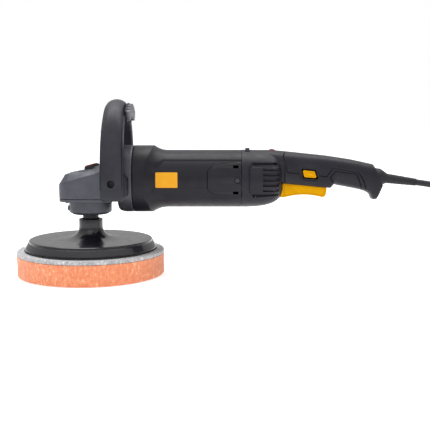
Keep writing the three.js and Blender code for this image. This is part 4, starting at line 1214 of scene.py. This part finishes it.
def shell_surface(side, inset, stations, angles):
    """Rings from the front rim to the tail, then rows that close the tail with a rounded edge."""
    rows = [shell_ring(s, side, inset, angles) for s in stations]
    last = rows[-1]
    fillet = 2.6
    centre = np.array([0, 0, last[:, 2].mean()])
    for t in np.linspace(0.15, 1, 6):
        a = t * math.pi / 2
        row = last.copy()
        inward = 1 - fillet * (1 - math.cos(a)) / 18
        row[:, 1] = side * np.maximum(np.abs(last[:, 1]) * inward, 0.15)
        row[:, 2] = centre[2] + (last[:, 2] - centre[2]) * inward
        row[:, 0] = last[:, 0] + fillet * math.sin(a) - fillet + (tail_end(row[:, 2]) - tail_end(last[:, 2]))
        rows.append(row)
    closing = rows[-1].copy()
    closing[:, 1] = side * 0.15
    rows.append(closing)
    return rows


def make_rear_shells():
    front = SHELL_LOW[0]
    wall = 2.5
    along = np.arange(front + 1.1, 359.5, 0.45)
    stations = np.concatenate([[front, front + 0.3, front + 0.7], along, [360.4]])
    angles = np.radians(np.linspace(-90, 90, 230))
    for side, name in ((-1, "left"), (1, "right")):
        outer = shell_surface(side, 0, stations, angles)
        for row, cut_back in zip(outer[:2], (0.3, 0.08)):
            row[:, 1] *= 1 - cut_back / 35
            row[:, 2] += (AXIS_Z - row[:, 2]) * cut_back / 35
        inner = shell_surface(side, wall, np.minimum(stations, 357.8), angles)
        rows, columns = len(outer), len(angles)
        points = np.array(outer + inner).reshape(-1, 3)
        shift = rows * columns
        faces = grid_faces(rows, columns)
        faces += [tuple(shift + k for k in face[::-1]) for face in grid_faces(rows, columns)]
        for i in range(rows - 1):
            for j in (0, columns - 1):
                a, b = i * columns + j, (i + 1) * columns + j
                faces.append((a, b, shift + b, shift + a))
        for j in range(columns - 1):
            for i in (0, rows - 1):
                a, b = i * columns + j, i * columns + j + 1
                faces.append((a, b, shift + b, shift + a))
        mesh = mesh_of(points, faces)
        cuts = [block((212.7, 232.6), on_side(side, 14, 42), (z - 2.0, z + 2.0)) for z in LOUVRE_HEIGHTS]
        cuts += [prism(slot, *on_side(side, 22, 42)) for slot in VENT_SLOTS]
        cuts.append(block((233.9, 297.3), (-12.5, 12.5), (85, 112.5)))
        cuts.append(block((192.0, 198.0), (-12.2, 12.2), (145, 160)))
        cuts.append(block((221.2, 229.3), (-3.4, 3.4), (146, 160)))
        cuts.append(rod(7.3, 350, 372, "X", (0, 0, 119.2)))
        if side < 0:
            cuts.append(prism(rounded(LOCK_HOLE, 1.8, 4), -30, -12))
        else:
            cuts += [rod(3.4, 12, 45, "Y", (x, 0, z), 32) for x, z, _ in SHELL_SCREWS]
        mesh = carved(mesh, merged(*cuts))
        show(f"rear_half_shell_{name}", mesh, "handle_plastic", "tool_body", f"rear_shell_{name}", sharp=35)


def make_louvre_screens():
    """Slanted blades behind the rear air slots, with a flat screen behind them."""
    for side, name in ((-1, "left"), (1, "right")):
        blades = []
        for z in LOUVRE_HEIGHTS:
            for x0, x1, depth in ((212, 228.6, 28.6), (228.9, 231.6, 25.5)):
                blade = block((x0, x1), (-0.5, 0.5), (-1.9, 1.9))
                tilt = Matrix.Rotation(math.radians(-25) * side, 4, "X")
                place = Matrix.Translation(Vector((0, side * depth, z + 0.5)) * MM)
                blades.append(moved(blade, place @ tilt))
        blades.append(block((211.6, 232.8), on_side(side, 22.0, 22.8), (102.5, 135.5)))
        blades.append(block((199, 226), on_side(side, 22.0, 22.8), (97.5, 140.5)))
        show(f"louvre_screen_{name}", merged(*blades), "soft_rubber", "tool_body")


def make_shell_screws():
    for i, (x, z, out) in enumerate(SHELL_SCREWS):
        mesh = screw(2.9, 1.8, 1.2, out + 5)
        show(f"shell_screw_detail_{i + 1}", moved(mesh, pose((x, out - 1.6, z), (0, 1, 0))), "black_steel",
             "tool_body", f"shell_screw_{i + 1}")


# ---- controls

def trigger_outline():
    belly = [(248.5, 97.6), (256, 98.7), (265, 99.1), (274, 98.5), (283, 96.9)]
    curve = [tuple(p) for p in smooth_line([(234.9, 95.6), (240, 95.9)] + belly, 5)]
    rear = rounded([curve[-1], (287.6, 95.8), (291.0, 97.6), (292.4, 104.8), (291.6, 109.8), (251, 116.8),
                    (248.2, 121.9), (240.8, 121.9), (240.0, 114.2), (237.6, 111.5), (236.0, 104.0),
                    (234.3, 96.0)],
                   [0, 2.4, 2.4, 1.4, 1, 2, 1.5, 1.5, 1.5, 2.5, 2, 0.6], 4, is_closed=False)
    return curve[:-1] + rear


def make_trigger():
    half = 12.0
    body = softened(prism(trigger_outline(), -half, half), 0.9, 3, angle=40)
    inset = [(240.0, 98.2), (246, 98.9), (256, 100.5), (265, 100.9), (274, 100.3), (286.6, 98.0),
             (288.8, 99.4), (290.2, 104.8), (289.6, 107.2), (246, 110.9), (240.6, 111.2)]
    centre = np.array([265, 104.2])
    tools = [rod(1.9, -20, 20, "Y", (244.5, 0, 119.0))]
    for side in (-1, 1):
        near, far = on_side(side, half - 0.35, half + 2)
        smaller = [tuple(centre + (np.array(p) - centre) * (0.984, 0.93)) for p in inset]
        tools.append(carved(prism(rounded(inset, 1.2, 3), near, far),
                            prism(rounded(smaller, 1.0, 3), near - 1, far + 1)))
    show("trigger_paddle", carved(body, *tools), "yellow_plastic", "trigger_body", "trigger", sharp=35)


def make_lock_button():
    face_y = -19.2
    body = softened(prism(rounded(LOCK_OUTLINE, 1.4, 4), face_y, -13.8), 0.7, 3)
    inner = [(266.0, 127.0), (267.4, 122.6), (276.0, 122.0), (274.6, 126.5)]
    smaller = [(271 + (x - 271) * 0.88, 124.5 + (z - 124.5) * 0.76) for x, z in inner]
    ring = carved(prism(rounded(inner, 0.6, 3), face_y - 1, face_y + 0.45),
                  prism(rounded(smaller, 0.5, 3), face_y - 2, face_y + 1))
    show("lock_on_button", carved(body, ring), "yellow_plastic", "lock_button_body", "lock_button")


def make_speed_dial():
    centre = (0, 0, (DIAL_LOW[2] + DIAL_HIGH[2]) / 2)
    front, rear = DIAL_LOW[0], DIAL_HIGH[0]
    r = (DIAL_HIGH[2] - DIAL_LOW[2]) / 2
    count = 30
    outline = []
    step = 2 * math.pi / count
    for i in range(count):
        for share, depth in ((0.0, 0.75), (0.18, 0.0), (0.62, 0.0), (0.8, 0.75)):
            a = step * (i + share)
            outline.append(((r - depth) * math.cos(a), (r - depth) * math.sin(a) + centre[2]))
    wheel = softened(prism(outline, front, rear, "X"), 0.3, 2)
    tools = [rod(1.9, front - 1, rear + 1, "X", centre), rod(6.6, rear - 0.8, rear + 1, "X", centre, 48)]
    show("speed_thumbwheel", carved(wheel, *tools), "soft_rubber", "speed_dial_body", "speed_dial")


def make_indicator_lens():
    x0, x1 = LENS_LOW[0] - 0.4, LENS_HIGH[0] + 0.4
    top = LENS_HIGH[2] + 0.9
    half = (x1 - x0) / 2
    outline = [(x0, LENS_LOW[2]), (x1, LENS_LOW[2])]
    outline += [((x0 + x1) / 2 + half * math.cos(a), top - 2.2 + 2.2 * math.sin(a))
                for a in np.linspace(0, math.pi, 16)]
    show("power_light_lens", softened(prism(outline, LENS_LOW[1], LENS_HIGH[1]), 0.5, 3), "red_lens",
         "tool_body", "indicator_lens")


def dress_inner_parts():
    """Every node that keeps its own mesh gets the finish of its slot."""
    for name, node in frame["nodes"].items():
        if node.hide_render:
            continue
        node.data.materials.clear()
        node.data.materials.append(MATERIALS[SLOT_OF[name]])


for make in (make_pad, make_hook_layer, make_backing_plate, make_spindle, make_gear_housing,
             make_bearing_cover, make_cover_screws, make_spindle_lock, make_gear_flange,
             make_loop_handle, make_loop_bolts, make_grip_insert, make_motor_housing, make_side_plates,
             make_rear_shells, make_louvre_screens, make_shell_screws, make_trigger, make_lock_button,
             make_speed_dial, make_indicator_lens, dress_inner_parts):
    make()


# ---- studio

WORLD_SIDE, WORLD_TOP = 0.5, 1.3  # brightness of the surroundings at the horizon and overhead


def make_stage():
    """A floor that glows faintly, so that it stays as pale as the studio behind it."""
    data = bpy.data.meshes.new("floor")
    bm = bmesh.new()
    bmesh.ops.create_grid(bm, x_segments=1, y_segments=1, size=9)
    bm.to_mesh(data)
    bm.free()
    floor = bpy.data.objects.new("floor", data)
    floor.location = (0, 0, -0.0006)
    n = Nodes("pale_floor")
    pale, paler = (0.84, 0.84, 0.84, 1), (0.86, 0.86, 0.86, 1)
    n.set("Base Color", n.mix(n.fit(n.noise(3, 2), 0.3, 0.7, 0, 1), pale, paler))
    n.set("Roughness", 0.95)
    n.set("Specular IOR Level", 0.0)
    n.set("Emission Color", (1, 1, 1, 1))
    n.set("Emission Strength", 0.42)
    data.materials.append(n.material)
    SCENE.collection.objects.link(floor)


def soft_light(name, place, aim, size, power):
    data = bpy.data.lights.new(name, "AREA")
    data.shape = "RECTANGLE"
    data.size, data.size_y = size
    data.energy = power
    light = bpy.data.objects.new(name, data)
    light.location = place
    light.rotation_euler = (Vector(aim) - Vector(place)).to_track_quat("-Z", "Y").to_euler()
    SCENE.collection.objects.link(light)


def make_lights():
    """A white studio: the light falls mostly from above, and the air behind the object is plain white."""
    world = bpy.data.worlds.new("studio")
    world.use_nodes = True
    tree = world.node_tree
    tree.nodes.clear()
    add = tree.nodes.new
    place, split, fit, path, mix, sky, out = (add(kind) for kind in (
        "ShaderNodeTexCoord", "ShaderNodeSeparateXYZ", "ShaderNodeMapRange", "ShaderNodeLightPath",
        "ShaderNodeMix", "ShaderNodeBackground", "ShaderNodeOutputWorld"))
    tree.links.new(place.outputs["Generated"], split.inputs[0])
    tree.links.new(split.outputs["Z"], fit.inputs["Value"])
    for key, value in (("From Min", 0.0), ("From Max", 1.0), ("To Min", WORLD_SIDE), ("To Max", WORLD_TOP)):
        fit.inputs[key].default_value = value
    tree.links.new(path.outputs["Is Camera Ray"], mix.inputs[0])
    tree.links.new(fit.outputs[0], mix.inputs[2])
    mix.inputs[3].default_value = 1.0
    tree.links.new(mix.outputs[0], sky.inputs["Strength"])
    sky.inputs["Color"].default_value = (1, 1, 1, 1)
    tree.links.new(sky.outputs[0], out.inputs[0])
    SCENE.world = world
    SCENE.view_settings.view_transform = "Standard"
    soft_light("overhead", (0.12, 0.25, 1.5), (0.12, 0, 0.1), (1.8, 0.9), 20)
    soft_light("front", (0.0, -1.6, 0.9), (0.12, 0, 0.1), (1.4, 0.8), 3)


make_stage()
make_lights()
